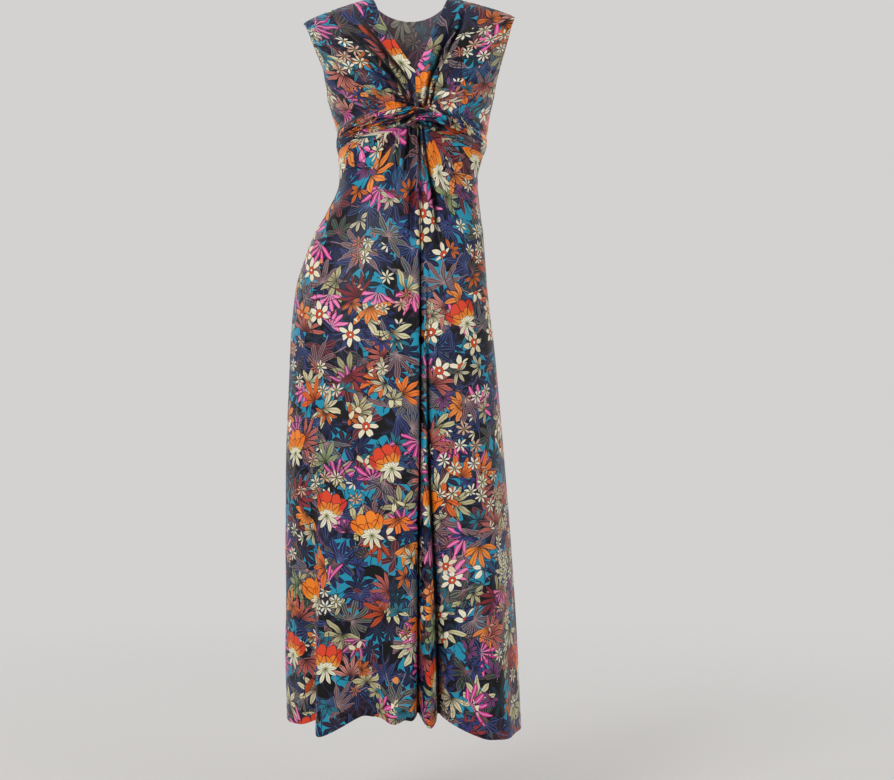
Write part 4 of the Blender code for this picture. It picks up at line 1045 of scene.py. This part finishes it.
fine_skirt("skirt_front_cloth")

# %% The back
BACK_GRID = (236, 188)  # cells down and across
BACK_MIX, BACK_CROWD = 0.5, 1.6  # this share of the rows' spacing crowds towards the neck
CREASE_WIDE = 0.008


def fine_back(name):
    """The back, in one panel from the neckline to the hem."""
    rows, columns = BACK_GRID
    t = np.linspace(0.0, 1.0, rows + 1)[:, None]
    down = SHOULDER + (HEM - SHOULDER) * ((1 - BACK_MIX) * t + BACK_MIX * t**BACK_CROWD)
    down, across = np.broadcast_arrays(down, np.linspace(-1.0, 1.0, columns + 1)[None, :])
    hang(name, back, down, across, -1, BACK_FOLDS + pulls(BACK_CREASES, CREASE_WIDE), columns // 2, 0.0)


fine_back("back_cloth")

# %% [markdown]
# ## The side seams
# Inside each side seam lies an overlocked allowance, a strip some 11 mm wide. It also keeps light
# from showing through the seam. It is one more shell, on points moved in from the back's own edge.

# %% The seam allowances
ALLOWANCE = np.array([-0.0035, 0.0, 0.0035, 0.0075])  # its columns, from the seam line
ALLOWANCE_IN, ALLOWANCE_THICK = 0.0019, 0.0010
ALLOWANCE_TOP = 0.003  # it starts this far below the armhole
COLUMNS_IN = 3  # the column of the back's grid that says which way the allowance lies


def side_allowance(name, side):
    """The allowance inside one side seam."""
    back_grid = grids["back_cloth"] if side > 0 else grids["back_cloth"][:, ::-1]
    back_grid = back_grid[back_grid[:, 0, 2] < -UNDERARM - ALLOWANCE_TOP]
    seam = back_grid[:, 0]
    over = back_grid[:, COLUMNS_IN] - seam
    over = unit(over)
    away = np.cross(over, (0.0, 0.0, 1.0))
    away = unit(away) * np.sign(side * away[:, :1])
    outer = (seam - away * ALLOWANCE_IN)[:, None] + over[:, None] * ALLOWANCE[None, :, None]
    depth = np.broadcast_to(away[:, None] * ALLOWANCE_THICK, outer.shape)
    flat = np.stack(np.broadcast_arrays(ALLOWANCE[None, :], outer[..., 2]), axis=-1)
    if side < 0:
        outer, depth, flat = outer[:, ::-1], depth[:, ::-1], flat[:, ::-1]
    return shell(name, outer, depth, flat, np.zeros(outer.shape[:2]))


allowances = [side_allowance("side_seam_right", -1), side_allowance("side_seam_left", 1)]
for piece in (*cloth.values(), *allowances):
    print(piece.name, len(piece.data.polygons) * 2, "triangles")

# %% [markdown]
# ## The print
# The cloth is printed with leaves and flowers on black and turquoise. Each layer scatters one motif
# in the cells of a Voronoi pattern: a point's angle round its cell's centre picks a petal, and its
# place along and beside that petal says if it is inside it. Layers are made one after the other.

# %% Arithmetic on shader sockets
def linear(code):
    """A colour such as "f47a2a" as linear red, green and blue."""
    parts = [int(code[k : k + 2], 16) / 255 for k in (0, 2, 4)]
    return tuple(c / 12.92 if c < 0.04045 else ((c + 0.055) / 1.055) ** 2.4 for c in parts)


def put(tree, inputs, values):
    """Links each value that is a socket to its input, and sets the others."""
    for key, value in values.items():
        if isinstance(value, Socket):
            tree.links.new(value.output, inputs[key])
        else:
            inputs[key].default_value = value


def added(tree, kind, values, **settings):
    """A new node with its settings and inputs."""
    new = tree.nodes.new(kind)
    for key, value in settings.items():
        setattr(new, key, value)
    put(tree, new.inputs, values)
    return new


def new_material(name):
    """A new material, its node tree, and the inputs of its shader."""
    material = bpy.data.materials.new(name)
    material.use_nodes = True
    return material, material.node_tree, material.node_tree.nodes["Principled BSDF"].inputs


class Socket:
    """A node's output, with arithmetic."""

    def __init__(self, tree, output):
        self.tree, self.output = tree, output

    def node(self, kind, values, output=0, **settings):
        """An output of a new node in the same tree."""
        return Socket(self.tree, added(self.tree, kind, values, **settings).outputs[output])

    def noise(self, scale, detail, output=0):
        """Flat noise at this place."""
        values = {"Vector": self, "Scale": scale, "Detail": detail}
        return self.node("ShaderNodeTexNoise", values, output, noise_dimensions="2D")

    def math(self, operation, *others, clamp=False, first=None):
        values = dict(enumerate((self if first is None else first,) + others))
        return self.node("ShaderNodeMath", values, operation=operation, use_clamp=clamp)

    def __add__(self, other):
        return self.math("ADD", other)

    __radd__ = __add__

    def __mul__(self, other):
        return self.math("MULTIPLY", other)

    __rmul__ = __mul__

    def __sub__(self, other):
        return self.math("SUBTRACT", other)

    def __rsub__(self, other):
        return self.math("SUBTRACT", self, first=other)

    def __truediv__(self, other):
        return self.math("DIVIDE", other)

    def times_plus(self, by, plus, clamp=False):
        return self.math("MULTIPLY_ADD", by, plus, clamp=clamp)

    def vector(self, operation, *others, output=0):
        values = dict(enumerate((self, *others)))
        return self.node("ShaderNodeVectorMath", values, output, operation=operation)

    def parts(self, kind="ShaderNodeSeparateXYZ"):
        """The three numbers of a place or a colour."""
        outputs = added(self.tree, kind, {0: self}).outputs
        return [Socket(self.tree, output) for output in outputs[:3]]

    def mixed(self, other, factor):
        """This colour, with factor of the other over it."""
        mix = added(self.tree, "ShaderNodeMix", {}, data_type="RGBA")
        inputs = {socket.identifier: socket for socket in mix.inputs}
        other = (*other, 1.0) if isinstance(other, tuple) else other
        put(self.tree, inputs, {"Factor_Float": factor, "A_Color": self, "B_Color": other})
        return Socket(self.tree, next(s for s in mix.outputs if s.identifier == "Result_Color"))

    def ramp(self, stops, interpolation="CONSTANT"):
        """A colour picked from (place, colour) stops."""
        new = added(self.tree, "ShaderNodeValToRGB", {0: self})
        new.color_ramp.interpolation = interpolation
        elements = new.color_ramp.elements
        while len(elements) < len(stops):
            elements.new(1.0)
        for element, (place, colour) in zip(elements, stops):
            element.position = place
            element.color = (*linear(colour), 1.0)
        return Socket(self.tree, new.outputs[0])


print("a leaf's orange in linear light:", [round(c, 3) for c in linear("f47a2a")])

# %% The motifs
# Sizes in metres. A leaf layer: its cells, the length of its leaves, how many make a full circle and
# how many of them grow, their half width, how pointed they are, the shortest as a share of the
# longest, how much of the cells is filled, its rim and vein, whether it is dotted, and its colours. A
# flower layer has an eye, with rings out from its middle, and grows in clusters.
Leaves = namedtuple("Leaves", "cell length count grow half point short fill rim vein dots colours")
Flowers = namedtuple("Flowers", "cell length count half point fill eye rings vein colours")

TURQUOISE, BLACK = "1f8eac", "08070b"
PRINT_LAYERS = (
    Leaves(0.046, 0.032, 8, 8, 0.0040, 0.90, 0.70, 1.00, "1c2240", "343f62", 0,
           ("12183a", "191f4a", "24162c", "0e2626", "32161e", "12172e")),
    Leaves(0.070, 0.043, 7, 5, 0.0052, 0.90, 0.65, 0.62, "7c565e", "96605e", 0,
           ("4c1820", "1e4236", "561a26", "183430", "5c1e28", "244a40")),
    Leaves(0.070, 0.044, 9, 6, 0.0044, 0.90, 0.65, 0.62, "465684", "5868a0", 0,
           ("171c42", "1e2450", "161b3e", "1a4862", "24244e", "141834")),
    Leaves(0.074, 0.050, 10, 7, 0.0040, 0.90, 0.70, 0.55, "a0848a", "b8988f", 1,
           ("66464e", "785a60", "40585e", "704650", "50505e", "3c564a")),
    Leaves(0.080, 0.042, 9, 6, 0.0046, 0.90, 0.65, 0.55, BLACK, "4a4a30", 0,
           ("b4ad84", "cfc79f", "a29b76", "c4ba8e", "d6cca8", "909a70")),
    Leaves(0.086, 0.045, 12, 6, 0.0036, 0.90, 0.65, 0.58, BLACK, "f4bcd8", 0,
           ("e04c96", "cc3a8c", "e66aa8", "b04080", "de5a9c", "a43878")),
    Leaves(0.092, 0.044, 10, 5, 0.0046, 0.90, 0.62, 0.58, BLACK, "7c3010", 0,
           ("ea7830", "ec8a3a", "dc642a", "e88840", "e2702e", "b84826")),
    Leaves(0.100, 0.045, 14, 7, 0.0034, 0.95, 0.75, 0.54, BLACK, "8a2c34", 1,
           ("dc8678", "cc6c62", "e2968a", "a23c44", "d2766a", "8a2a32")),
    Leaves(0.048, 0.026, 8, 5, 0.0030, 0.90, 0.60, 0.46, BLACK, "26241a", 0,
           ("c0b88e", "26788e", "7a4276", "cc6830", "343f80", "c8c0a0")),
    Flowers(0.054, 0.0225, 6, 0.0046, 1.10, 0.72, 0.33, ("efe6c8", "3a1a10", "cc4420"), "9a9470",
            ("ece4c8", "e6d6b6", "e08a4a", "eee6d0", "dcd0ac", "e8dec2")),
    Flowers(0.0270, 0.0135, 7, 0.0018, 1.10, 0.62, 0.15, ("c9a24a", "5a6a3a", "5a6a3a"), "a8a280",
            ("eae4cc", "e4d9be", "ece7d6", "d4a690", "e8e0c6", "b85a50")),
)
OUTLINE = 0.0008  # the line round each leaf
SOFT = 0.0003  # over which a printed edge fades
SKEW = 1.35  # over 1, a petal is widest beyond its middle
UNEVEN, FLOWER_UNEVEN, BLOOM_UNEVEN = 0.85, 0.7, 0.75  # how unevenly the cells lie, 0 to 1
ASIDE = ((7.31, 13, 0.37), (3.77, 11, 0.61))  # moves each layer's cells aside, across and up
LEAF_TURN, LEAF_STEP, LEAF_LUCK, FLOWER_TURN = 17.0, 3.7, 61.0, 5.0  # turn a picked number into others
LEAF_DARK = (-1.6, 0.75)  # the black at a leaf's foot: by how much it fades along the leaf, and its start
RING_PLACES = (0.0, 0.30, 0.42, 0.90)  # where the rings of an eye start, as shares of its radius
LEAF_VEIN, VEIN_END, FLOWER_VEIN = (0.0009, 0.85), 0.92, (0.0006, 0.6)  # thickness and strength


def scattered(place, cell, seed, uneven=UNEVEN):
    """The way from the nearest cell's centre, in cells, and three numbers picked for that cell."""
    aside = [step * seed % span + first for step, span, first in ASIDE]
    spot = place.vector("MULTIPLY_ADD", (1 / cell, 1 / cell, 0.0), (*aside, 0.0))
    values = {"Vector": spot, "Scale": 1.0, "Randomness": uneven}
    cells = added(spot.tree, "ShaderNodeTexVoronoi", values, voronoi_dimensions="2D")
    dx, dy, _ = spot.vector("SUBTRACT", Socket(spot.tree, cells.outputs["Position"])).parts()
    picks = Socket(spot.tree, cells.outputs["Color"]).parts("ShaderNodeSeparateColor")
    far = (dx.math("POWER", 2.0) + dy.math("POWER", 2.0)).math("SQRT")
    return dy.math("ARCTAN2", dx), far, picks


def petal(angle, far, count, turn):
    """Which petal of so many a point is on, and how far it is along and beside it."""
    sector = angle.times_plus(count / math.tau, turn)
    number = sector.math("FLOOR")
    own = (sector - number).times_plus(math.tau / count, -math.pi / count)
    return number, far * own.math("COSINE"), (far * own.math("SINE")).math("ABSOLUTE")


def petal_edge(part, side, half, point):
    """How far inside a petal's edge a point is; part is its place along it, 0 to 1."""
    part = part.math("POWER", SKEW)
    swell = part.times_plus(part * -4.0, part * 4.0).math("MAXIMUM", 0.0).math("POWER", point)
    return swell.times_plus(half, side * -1.0)


def inked(colour, ink, inside, cell, here, rim=BLACK):
    """The ink over the colour inside a petal, with a line round it."""
    body = inside.math("MULTIPLY", cell / SOFT, clamp=True)
    with_line = inside.times_plus(cell / SOFT, OUTLINE / SOFT, clamp=True) * here
    ink = ink.mixed(linear(rim), body.math("SUBTRACT", body, first=1.0))
    return colour.mixed(ink, with_line)


def picked(pick, colours):
    """One of the colours, each as likely as the others."""
    return pick.ramp([(k / len(colours), c) for k, c in enumerate(colours)])


def line(side, cell, thick, strength):
    """A vein of that thickness and strength along a petal's middle."""
    return side.times_plus(-cell / thick, 1.0, clamp=True) * strength


def leaf_layer(colour, place, dots, layer, seed):
    """The colour with a layer of leaf sprays over it."""
    angle, far, (pick, turn, filled) = scattered(place, layer.cell, seed)
    number, along, side = petal(angle, far, layer.count, turn * LEAF_TURN)
    number = number.math("FLOORED_MODULO", layer.count)
    luck = number.times_plus(LEAF_STEP, turn * LEAF_LUCK)
    luck = luck.node("ShaderNodeTexWhiteNoise", {"W": luck}, noise_dimensions="1D")
    longest = layer.length / layer.cell
    part = along / luck.times_plus(longest * (1 - layer.short), longest * layer.short)
    inside = petal_edge(part, side, layer.half / layer.cell, layer.point)
    here = filled.math("LESS_THAN", layer.fill) * number.math("LESS_THAN", layer.grow - 0.5)
    ink = picked(pick, layer.colours).mixed(linear(BLACK), part.times_plus(*LEAF_DARK, clamp=True))
    vein = line(side, layer.cell, *LEAF_VEIN) * part.math("LESS_THAN", VEIN_END)
    ink = ink.mixed(linear(layer.vein), vein)
    if layer.dots:
        ink = ink.mixed(linear(BLACK), dots)
    return inked(colour, ink, inside, layer.cell, here, layer.rim)


def flower_layer(colour, place, cluster, layer, seed):
    """The colour with a layer of small flowers over it."""
    angle, far, (pick, turn, filled) = scattered(place, layer.cell, seed, FLOWER_UNEVEN)
    _, along, side = petal(angle, far, layer.count, turn * FLOWER_TURN)
    part = along * (layer.cell / layer.length)
    inside = petal_edge(part, side, layer.half / layer.cell, layer.point)
    eye = far.times_plus(-layer.cell / SOFT, layer.eye * layer.length / SOFT, clamp=True)
    here = filled.math("LESS_THAN", cluster * layer.fill)
    ink = picked(pick, layer.colours).mixed(linear(layer.vein), line(side, layer.cell, *FLOWER_VEIN))
    colour = inked(colour, ink, inside, layer.cell, here)
    rings = far * (layer.cell / (layer.eye * layer.length))
    middle = rings.ramp(list(zip(RING_PLACES, (*layer.rings, BLACK))))
    return colour.mixed(middle, eye * here)


print("layers of leaves and flowers:", len(PRINT_LAYERS))

# %% The large blooms
BLOOM_CELL, BLOOM_FILL = 0.128, 0.50  # the large orange and red blooms
# The rounded petals of a bloom's cup, back to front: how far they stand from its middle on both sides,
# their height over its foot, half width, half height, how they lean out, and which colour they have.
CUP = ((0.0165, 0.0165, 0.0105, 0.0170, 0.35, 0), (0.0070, 0.0225, 0.0115, 0.0175, 0.10, 1),
       (0.0085, 0.0105, 0.0088, 0.0130, 0.40, 2), (0.0000, 0.0110, 0.0072, 0.0125, 0.00, 2))
CUP_COLOURS = (("ea761e", "f08428", "ee7c22"), ("cc3826", "da4429", "e47a2c"))
CUP_RIM, THROAT, THROAT_HIGH = "5a1c12", "e8b43c", 0.015  # a petal's edge, and its paler foot
STAR = (9, 0.027, 0.0034, 0.85)  # the pale star over the cup's foot: petals, length, half width, point
STAR_COLOURS = ((0.0, "7a8a4a"), (0.30, "e6dfc4"))
STAR_LONG, STAR_UP = 0.72, 0.28  # its petals to the side, as a share, and how much shorter those above are
STAR_VEIN, STAR_VEIN_COLOUR = (0.0008, 0.8), "6e7448"
BLOOM_LEAN = 1.4  # how far the blooms turn, in all, from standing upright


def large_blooms(colour, place, seed):
    """Blooms with a cup of broad orange or red petals above and a pale star at its foot."""
    angle, far, (pick, turn, filled) = scattered(place, BLOOM_CELL, seed, BLOOM_UNEVEN)
    angle = angle + turn.times_plus(BLOOM_LEAN, -math.pi / 2 - BLOOM_LEAN / 2)
    angle = angle.math("WRAP", math.pi, -math.pi)
    here = filled.math("LESS_THAN", BLOOM_FILL)
    red = pick.math("GREATER_THAN", 0.5)
    upward = angle.math("COSINE")
    up = far * upward * BLOOM_CELL
    across = (far * angle.math("SINE") * BLOOM_CELL).math("ABSOLUTE")
    throat = up.times_plus(-1 / THROAT_HIGH, 1.0, clamp=True)
    for apart, height, half_width, half_height, lean, shade in CUP:
        above = up - height
        aside = (across - above.times_plus(lean, apart)) / half_width
        above = above / half_height
        inside = (aside * aside + above * above).math("SQRT").times_plus(-half_width, half_width)
        ink = up.ramp([(0.0, CUP_COLOURS[0][shade])]).mixed(linear(CUP_COLOURS[1][shade]), red)
        ink = ink.mixed(linear(THROAT), throat)
        colour = inked(colour, ink, inside, 1.0, here, CUP_RIM)
    count, length, half, point = STAR
    _, along, side = petal(angle, far, count, 0.5)
    longest = length / BLOOM_CELL
    part = along / upward.times_plus(-STAR_UP * longest, STAR_LONG * longest)
    inside = petal_edge(part, side, half / BLOOM_CELL, point)
    ink = part.ramp(STAR_COLOURS, "LINEAR")
    ink = ink.mixed(linear(STAR_VEIN_COLOUR), line(side, BLOOM_CELL, *STAR_VEIN))
    return inked(colour, ink, inside, BLOOM_CELL, here)


print("petals in a bloom:", len(CUP), "in its cup, of which three are pairs, and", STAR[0], "in its star")

# %% The printed jersey
SWAY, SWAY_SCALE = 0.007, 42.0  # the print's lines sway by up to half of this
DOTS, DOTS_OVER, DOTS_DARK = 2600.0, 0.25, 0.8  # waves in radians to a metre, a dot's start, its strength
PATCHES, PATCH_SCALE = ((0.0, BLACK), (0.515, TURQUOISE)), 17.0  # the ground
CLUSTERS, CLUSTER_SCALE = ((-9.0, 3.9), (9.0, -5.0)), 6.5  # where the two kinds of flowers grow
BLOOM_SEED = 5.0
REVERSE_COLOUR, REVERSE_PALE = "8d8a92", 0.5  # the reverse has this share of that colour
GRAIN_SCALE, ROUGH = 130.0, (0.16, 0.33)  # how much rougher the grain makes the cloth, and its least
KNIT, KNIT_HIGH = 5200.0, 0.06  # its ribs, in radians to a metre, and their height beside the grain's
KNIT_BUMP, SHINE = {"Strength": 0.3, "Distance": 0.0007}, 0.2


def printed_jersey():
    """The jersey: the print on its face, paler on its reverse, darkened by painted shade in narrow folds and
    grooves, with a satin finish and a fine knit.
    """
    material, tree, shader = new_material("printed_jersey")
    place = Socket(tree, added(tree, "ShaderNodeUVMap", {}, uv_map="flat").outputs[0])
    place = place.noise(SWAY_SCALE, 1.0, output=1).vector("MULTIPLY_ADD", (SWAY, SWAY, 0.0), place)
    x, y, _ = place.parts()
    dots = (x * DOTS).math("SINE") * (y * DOTS).math("SINE")
    dots = dots.math("GREATER_THAN", DOTS_OVER) * DOTS_DARK
    colour = place.noise(PATCH_SCALE, 1.0).ramp(PATCHES)
    cluster = place.noise(CLUSTER_SCALE, 0.0)
    clusters = [cluster.times_plus(*kind, clamp=True) for kind in CLUSTERS]
    for seed, layer in enumerate(PRINT_LAYERS, 1):
        if isinstance(layer, Leaves):
            colour = leaf_layer(colour, place, dots, layer, seed)
        else:
            colour = flower_layer(colour, place, clusters[seed % 2], layer, seed)
    colour = large_blooms(colour, place, BLOOM_SEED)
    # Painted shade: the print is mixed towards black where the crease shade attribute is set, in narrow folds
    # and in the bands' grooves.
    reverse, crease_shade = (place.node("ShaderNodeAttribute", {}, 2, attribute_name=n) for n in (REVERSE, CREASE_SHADE_NAME))
    colour = colour.mixed(linear(REVERSE_COLOUR), reverse * REVERSE_PALE).mixed(linear(BLACK), crease_shade)
    grain = place.noise(GRAIN_SCALE, 2.0)
    height = grain.times_plus(0.5, (x * KNIT).math("SINE") * KNIT_HIGH)
    knit = height.node("ShaderNodeBump", {**KNIT_BUMP, "Height": height})
    put(tree, shader, {"Base Color": colour, "Roughness": grain.times_plus(*ROUGH)})
    put(tree, shader, {"Normal": knit, "Specular IOR Level": SHINE})
    return material


jersey_print = printed_jersey()
for piece in cloth.values():
    piece.data.materials.append(jersey_print)
print("print:", len(PRINT_LAYERS) + 1, "layers,", len(jersey_print.node_tree.nodes), "nodes")

# %% [markdown]
# ## Stitches
# Two rows of stitches hold the turned hem and one holds each armhole. A stitch is a small capsule,
# set at even steps along a line on the cloth.

# %% A stitch and its thread
STITCH_LONG, STITCH_THICK, STITCH_STEP = 0.0024, 0.0005, 0.0034
STITCH_RINGS = ((-0.5, 0.25), (-0.34, 0.9), (0.0, 1.0), (0.34, 0.9), (0.5, 0.25))  # place, and thickness
STITCH_SIDES = 6
THREAD_COLOURS, THREAD_SCALE, THREAD_ROUGH = ("15141a", "2a2833"), 900.0, 0.5


def thread(name):
    """A thread's material, mottled between its two colours."""
    material, tree, shader = new_material(name)
    place = Socket(tree, added(tree, "ShaderNodeTexCoord", {}).outputs["Object"])
    mottle = place.node("ShaderNodeTexNoise", {"Vector": place, "Scale": THREAD_SCALE})
    colour = mottle.ramp(list(enumerate(THREAD_COLOURS)), "LINEAR")
    put(tree, shader, {"Base Color": colour, "Roughness": THREAD_ROUGH})
    return material


def ring_points(radius, sides):
    """Points at even steps round a circle."""
    turns = [math.tau * k / sides for k in range(sides)]
    return [(radius * math.cos(a), radius * math.sin(a)) for a in turns]


def capsule():
    """One stitch, along X."""
    places, faces, sides = [], [], STITCH_SIDES
    for at, size in STITCH_RINGS:
        places += [(at * STITCH_LONG, y, z) for y, z in ring_points(STITCH_THICK / 2 * size, sides)]
    for i in range(len(STITCH_RINGS) - 1):
        for k in range(sides):
            n = (k + 1) % sides
            faces.append((i * sides + k, i * sides + n, (i + 1) * sides + n, (i + 1) * sides + k))
    faces.append(tuple(range(sides))[::-1])
    faces.append(tuple(range(len(places) - sides, len(places))))
    mesh = bpy.data.meshes.new("stitch")
    mesh.from_pydata(places, [], faces)
    mesh.shade_smooth()
    return linked("stitch", mesh)


stitch = capsule()
black_thread = thread("stitch_thread")
for piece in allowances:
    piece.data.materials.append(black_thread)
print("a stitch: %.1f mm long, every %.1f mm" % (STITCH_LONG * 1000, STITCH_STEP * 1000))

# %% Stitches along the turned edges
HEM_PANELS, HEM_ROWS = ("skirt_front_cloth", "back_cloth"), (0.019, 0.0215)  # rows this far from the edge
STITCH_IN, STITCH_STOP = 0.001, 0.004  # inside the armhole's turned strip, and this far above the side seam


def stitch_tree(stitch, material):
    """Geometry nodes: a stitch at even steps along each line."""
    tree = bpy.data.node_groups.new("stitches", "GeometryNodeTree")
    tree.interface.new_socket("Lines", in_out="INPUT", socket_type="NodeSocketGeometry")
    step = tree.interface.new_socket("Step", in_out="INPUT", socket_type="NodeSocketFloat")
    tree.interface.new_socket("Stitches", in_out="OUTPUT", socket_type="NodeSocketGeometry")
    kinds = {
        "in": "NodeGroupInput", "curve": "GeometryNodeMeshToCurve", "steps": "GeometryNodeResampleCurve",
        "tangent": "GeometryNodeInputTangent", "turn": "FunctionNodeAlignEulerToVector",
        "stitch": "GeometryNodeObjectInfo", "place": "GeometryNodeInstanceOnPoints",
        "real": "GeometryNodeRealizeInstances", "material": "GeometryNodeSetMaterial",
        "out": "NodeGroupOutput",
    }
    nodes = {key: tree.nodes.new(kind) for key, kind in kinds.items()}
    nodes["steps"].mode = "LENGTH"
    nodes["turn"].axis = "X"
    nodes["stitch"].inputs["Object"].default_value = stitch
    nodes["material"].inputs["Material"].default_value = material
    for start, output, end, socket in (
        ("in", "Lines", "curve", "Mesh"), ("curve", "Curve", "steps", "Curve"),
        ("in", "Step", "steps", "Length"), ("steps", "Curve", "place", "Points"),
        ("tangent", "Tangent", "turn", "Vector"), ("turn", "Rotation", "place", "Rotation"),
        ("stitch", "Geometry", "place", "Instance"), ("place", "Instances", "real", "Geometry"),
        ("real", "Geometry", "material", "Geometry"), ("material", "Geometry", "out", "Stitches"),
    ):
        tree.links.new(nodes[start].outputs[output], nodes[end].inputs[socket])
    return tree, step.identifier


def stitched(name, lines, tree, step_socket):
    """Stitches along polylines, as one mesh."""
    places = np.concatenate(lines)
    edges, first = [], 0
    for line in lines:
        edges += [(k, k + 1) for k in range(first, first + len(line) - 1)]
        first += len(line)
    mesh = bpy.data.meshes.new(name + "_lines")
    mesh.from_pydata(places.tolist(), edges, [])
    guide = linked(name + "_lines", mesh)
    modifier = guide.modifiers.new("stitches", "NODES")
    modifier.node_group = tree
    modifier[step_socket] = STITCH_STEP
    shown = bpy.data.meshes.new_from_object(guide.evaluated_get(bpy.context.evaluated_depsgraph_get()))
    shown.name = name
    guide.modifiers.clear()
    bpy.data.objects.remove(guide)
    return linked(name, shown)


def inset_line(points, edge, inset):
    """The points on a grid that lie inset from an edge, as a polyline."""
    grid = points if edge in ("first", "last") else points.transpose(1, 0, 2)
    if edge in ("last", "foot"):
        grid = grid[:, ::-1]
    far = arc(grid, 1)
    return np.array([[np.interp(inset, far[i], grid[i, :, k]) for k in range(3)] for i in range(len(grid))])


def armhole_line(name, edge):
    """The line beside a panel's armhole, down to a little above the side seam."""
    height = grids[name][:, 0 if edge == "first" else -1, 2]
    return inset_line(grids[name], edge, ARMHOLE_TURN - STITCH_IN)[height > -UNDERARM + STITCH_STOP]


tree, step_socket = stitch_tree(stitch, black_thread)
hem_lines = [inset_line(grids[name], "foot", row) for name in HEM_PANELS for row in HEM_ROWS]
stitch_lines = {"hem_stitches": hem_lines}
for word, front_edge, back_edge in (("right", "first", "last"), ("left", "last", "first")):
    edges = (("front_bodice_%s_cloth" % word, front_edge), ("back_cloth", back_edge))
    stitch_lines["armhole_stitches_" + word] = [armhole_line(name, edge) for name, edge in edges]
stitching = {name: stitched(name, lines, tree, step_socket) for name, lines in stitch_lines.items()}
for name, piece in stitching.items():
    print(name, len(piece.data.polygons), "faces")
bpy.data.objects.remove(stitch)

# %% [markdown]
# ## What each piece stands for
# Every panel replaces its solid. The cut sizes are those of the cloth that shows.

# %% Pieces, sheets and the frame
CUTS = {  # width and length of the cut, its area, how it is held, and what it hangs from
    "front_bodice_right_cloth": (0.22, 0.24, None, "gathered", ("back_cloth",)),
    "front_bodice_left_cloth": (0.22, 0.24, None, "gathered", ("back_cloth",)),
    "twist_band_right_cloth": (0.18, 0.075, None, "gathered", ("front_bodice_right_cloth",)),
    "twist_band_left_cloth": (0.18, 0.075, None, "gathered", ("front_bodice_left_cloth",)),
    "skirt_front_cloth": (0.70, 1.03, None, "gathered", ("twist_band_right_cloth", "twist_band_left_cloth")),
    "back_cloth": (0.62, 1.30, None, "hung", ("front_bodice_right_cloth", "front_bodice_left_cloth")),
}
for name, piece in cloth.items():
    node = name.replace("_cloth", "")
    area = sum(p.area for p in piece.data.polygons) / 2
    width, length, cut_area, held, hangs_from = CUTS[name]
    print(name, "area %.4f m2, cut %.3f x %.3f" % (area, width, length))
    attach(piece, "root")
    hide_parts(node)
for piece in (*stitching.values(), *allowances):
    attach(piece, "root")

# %% [markdown]
# ## Camera, light and floor
# The camera stands where the photo seems to be taken from: level, 3.2 m away. The light is soft.

# %% Camera, lights and floor
CAMERA_AT, CAMERA_AWAY, PIXELS_PER_METRE, PICTURE_WIDTH, SENSOR = (0.066, -0.679), 3.2, 560, 894, 36.0
WORLD_COLOUR, FLOOR_COLOUR, FLOOR_ROUGH = (0.655, 0.645, 0.635, 1.0), (0.66, 0.65, 0.64, 1.0), 0.9
FLOOR_Z, FLOOR_REACH, FLOOR_FADE, FLOOR_SIDES = -1.46, 3.4, 1.6, 96  # it fades out from FADE to REACH
camera = linked("camera", bpy.data.cameras.new("camera"))
camera.location = (CAMERA_AT[0], -CAMERA_AWAY, CAMERA_AT[1])
camera.rotation_euler = (math.pi / 2, 0.0, 0.0)
camera.data.sensor_width = SENSOR
camera.data.lens = PIXELS_PER_METRE * CAMERA_AWAY * SENSOR / PICTURE_WIDTH
bpy.context.scene.camera = camera

LIT = (0.0, 0.0, -0.65)  # what the lights are turned to
LIGHTS = (  # name, place, width, height, power in watts
    ("key", (-1.7, -2.7, 1.1), 1.3, 1.8, 46.0),
    ("fill", (2.4, -2.2, 0.2), 1.4, 2.0, 11.0),
    ("back_left", (1.6, 2.3, 1.0), 1.4, 1.6, 18.0),
    ("back_right", (-2.3, 1.7, 0.4), 1.2, 1.8, 9.0),
)
for name, place, wide, tall, power in LIGHTS:
    lamp = bpy.data.lights.new(name, "AREA")
    lamp.shape, lamp.size, lamp.size_y, lamp.energy = "RECTANGLE", wide, tall, power
    lamp_object = linked(name, lamp)
    lamp_object.location = place
    away = np.array(place) - np.array(LIT)
    tilt = math.acos(away[2] / np.linalg.norm(away))
    lamp_object.rotation_euler = (tilt, 0.0, math.atan2(away[0], -away[1]))

world = bpy.data.worlds.new("studio")
world.use_nodes = True
put(world.node_tree, world.node_tree.nodes["Background"].inputs, {"Color": WORLD_COLOUR, "Strength": 1.0})
bpy.context.scene.world = world
bpy.context.scene.view_settings.view_transform = "Standard"

floor_mesh = bpy.data.meshes.new("floor")
ring = [(x, y, FLOOR_Z) for x, y in ring_points(FLOOR_REACH, FLOOR_SIDES)]
floor_mesh.from_pydata(ring, [], [tuple(range(FLOOR_SIDES))])
floor = linked("floor", floor_mesh)
paint, paint_tree, paint_inputs = new_material("pale_floor")
where = Socket(paint_tree, added(paint_tree, "ShaderNodeTexCoord", {}).outputs["Object"])
values = {"From Min": FLOOR_FADE, "From Max": FLOOR_REACH, "To Min": 1.0, "To Max": 0.0}
values["Value"] = where.vector("LENGTH", output="Value")
fade = where.node("ShaderNodeMapRange", values, interpolation_type="SMOOTHSTEP")
put(paint_tree, paint_inputs, {"Base Color": FLOOR_COLOUR, "Roughness": FLOOR_ROUGH, "Alpha": fade})
floor_mesh.materials.append(paint)
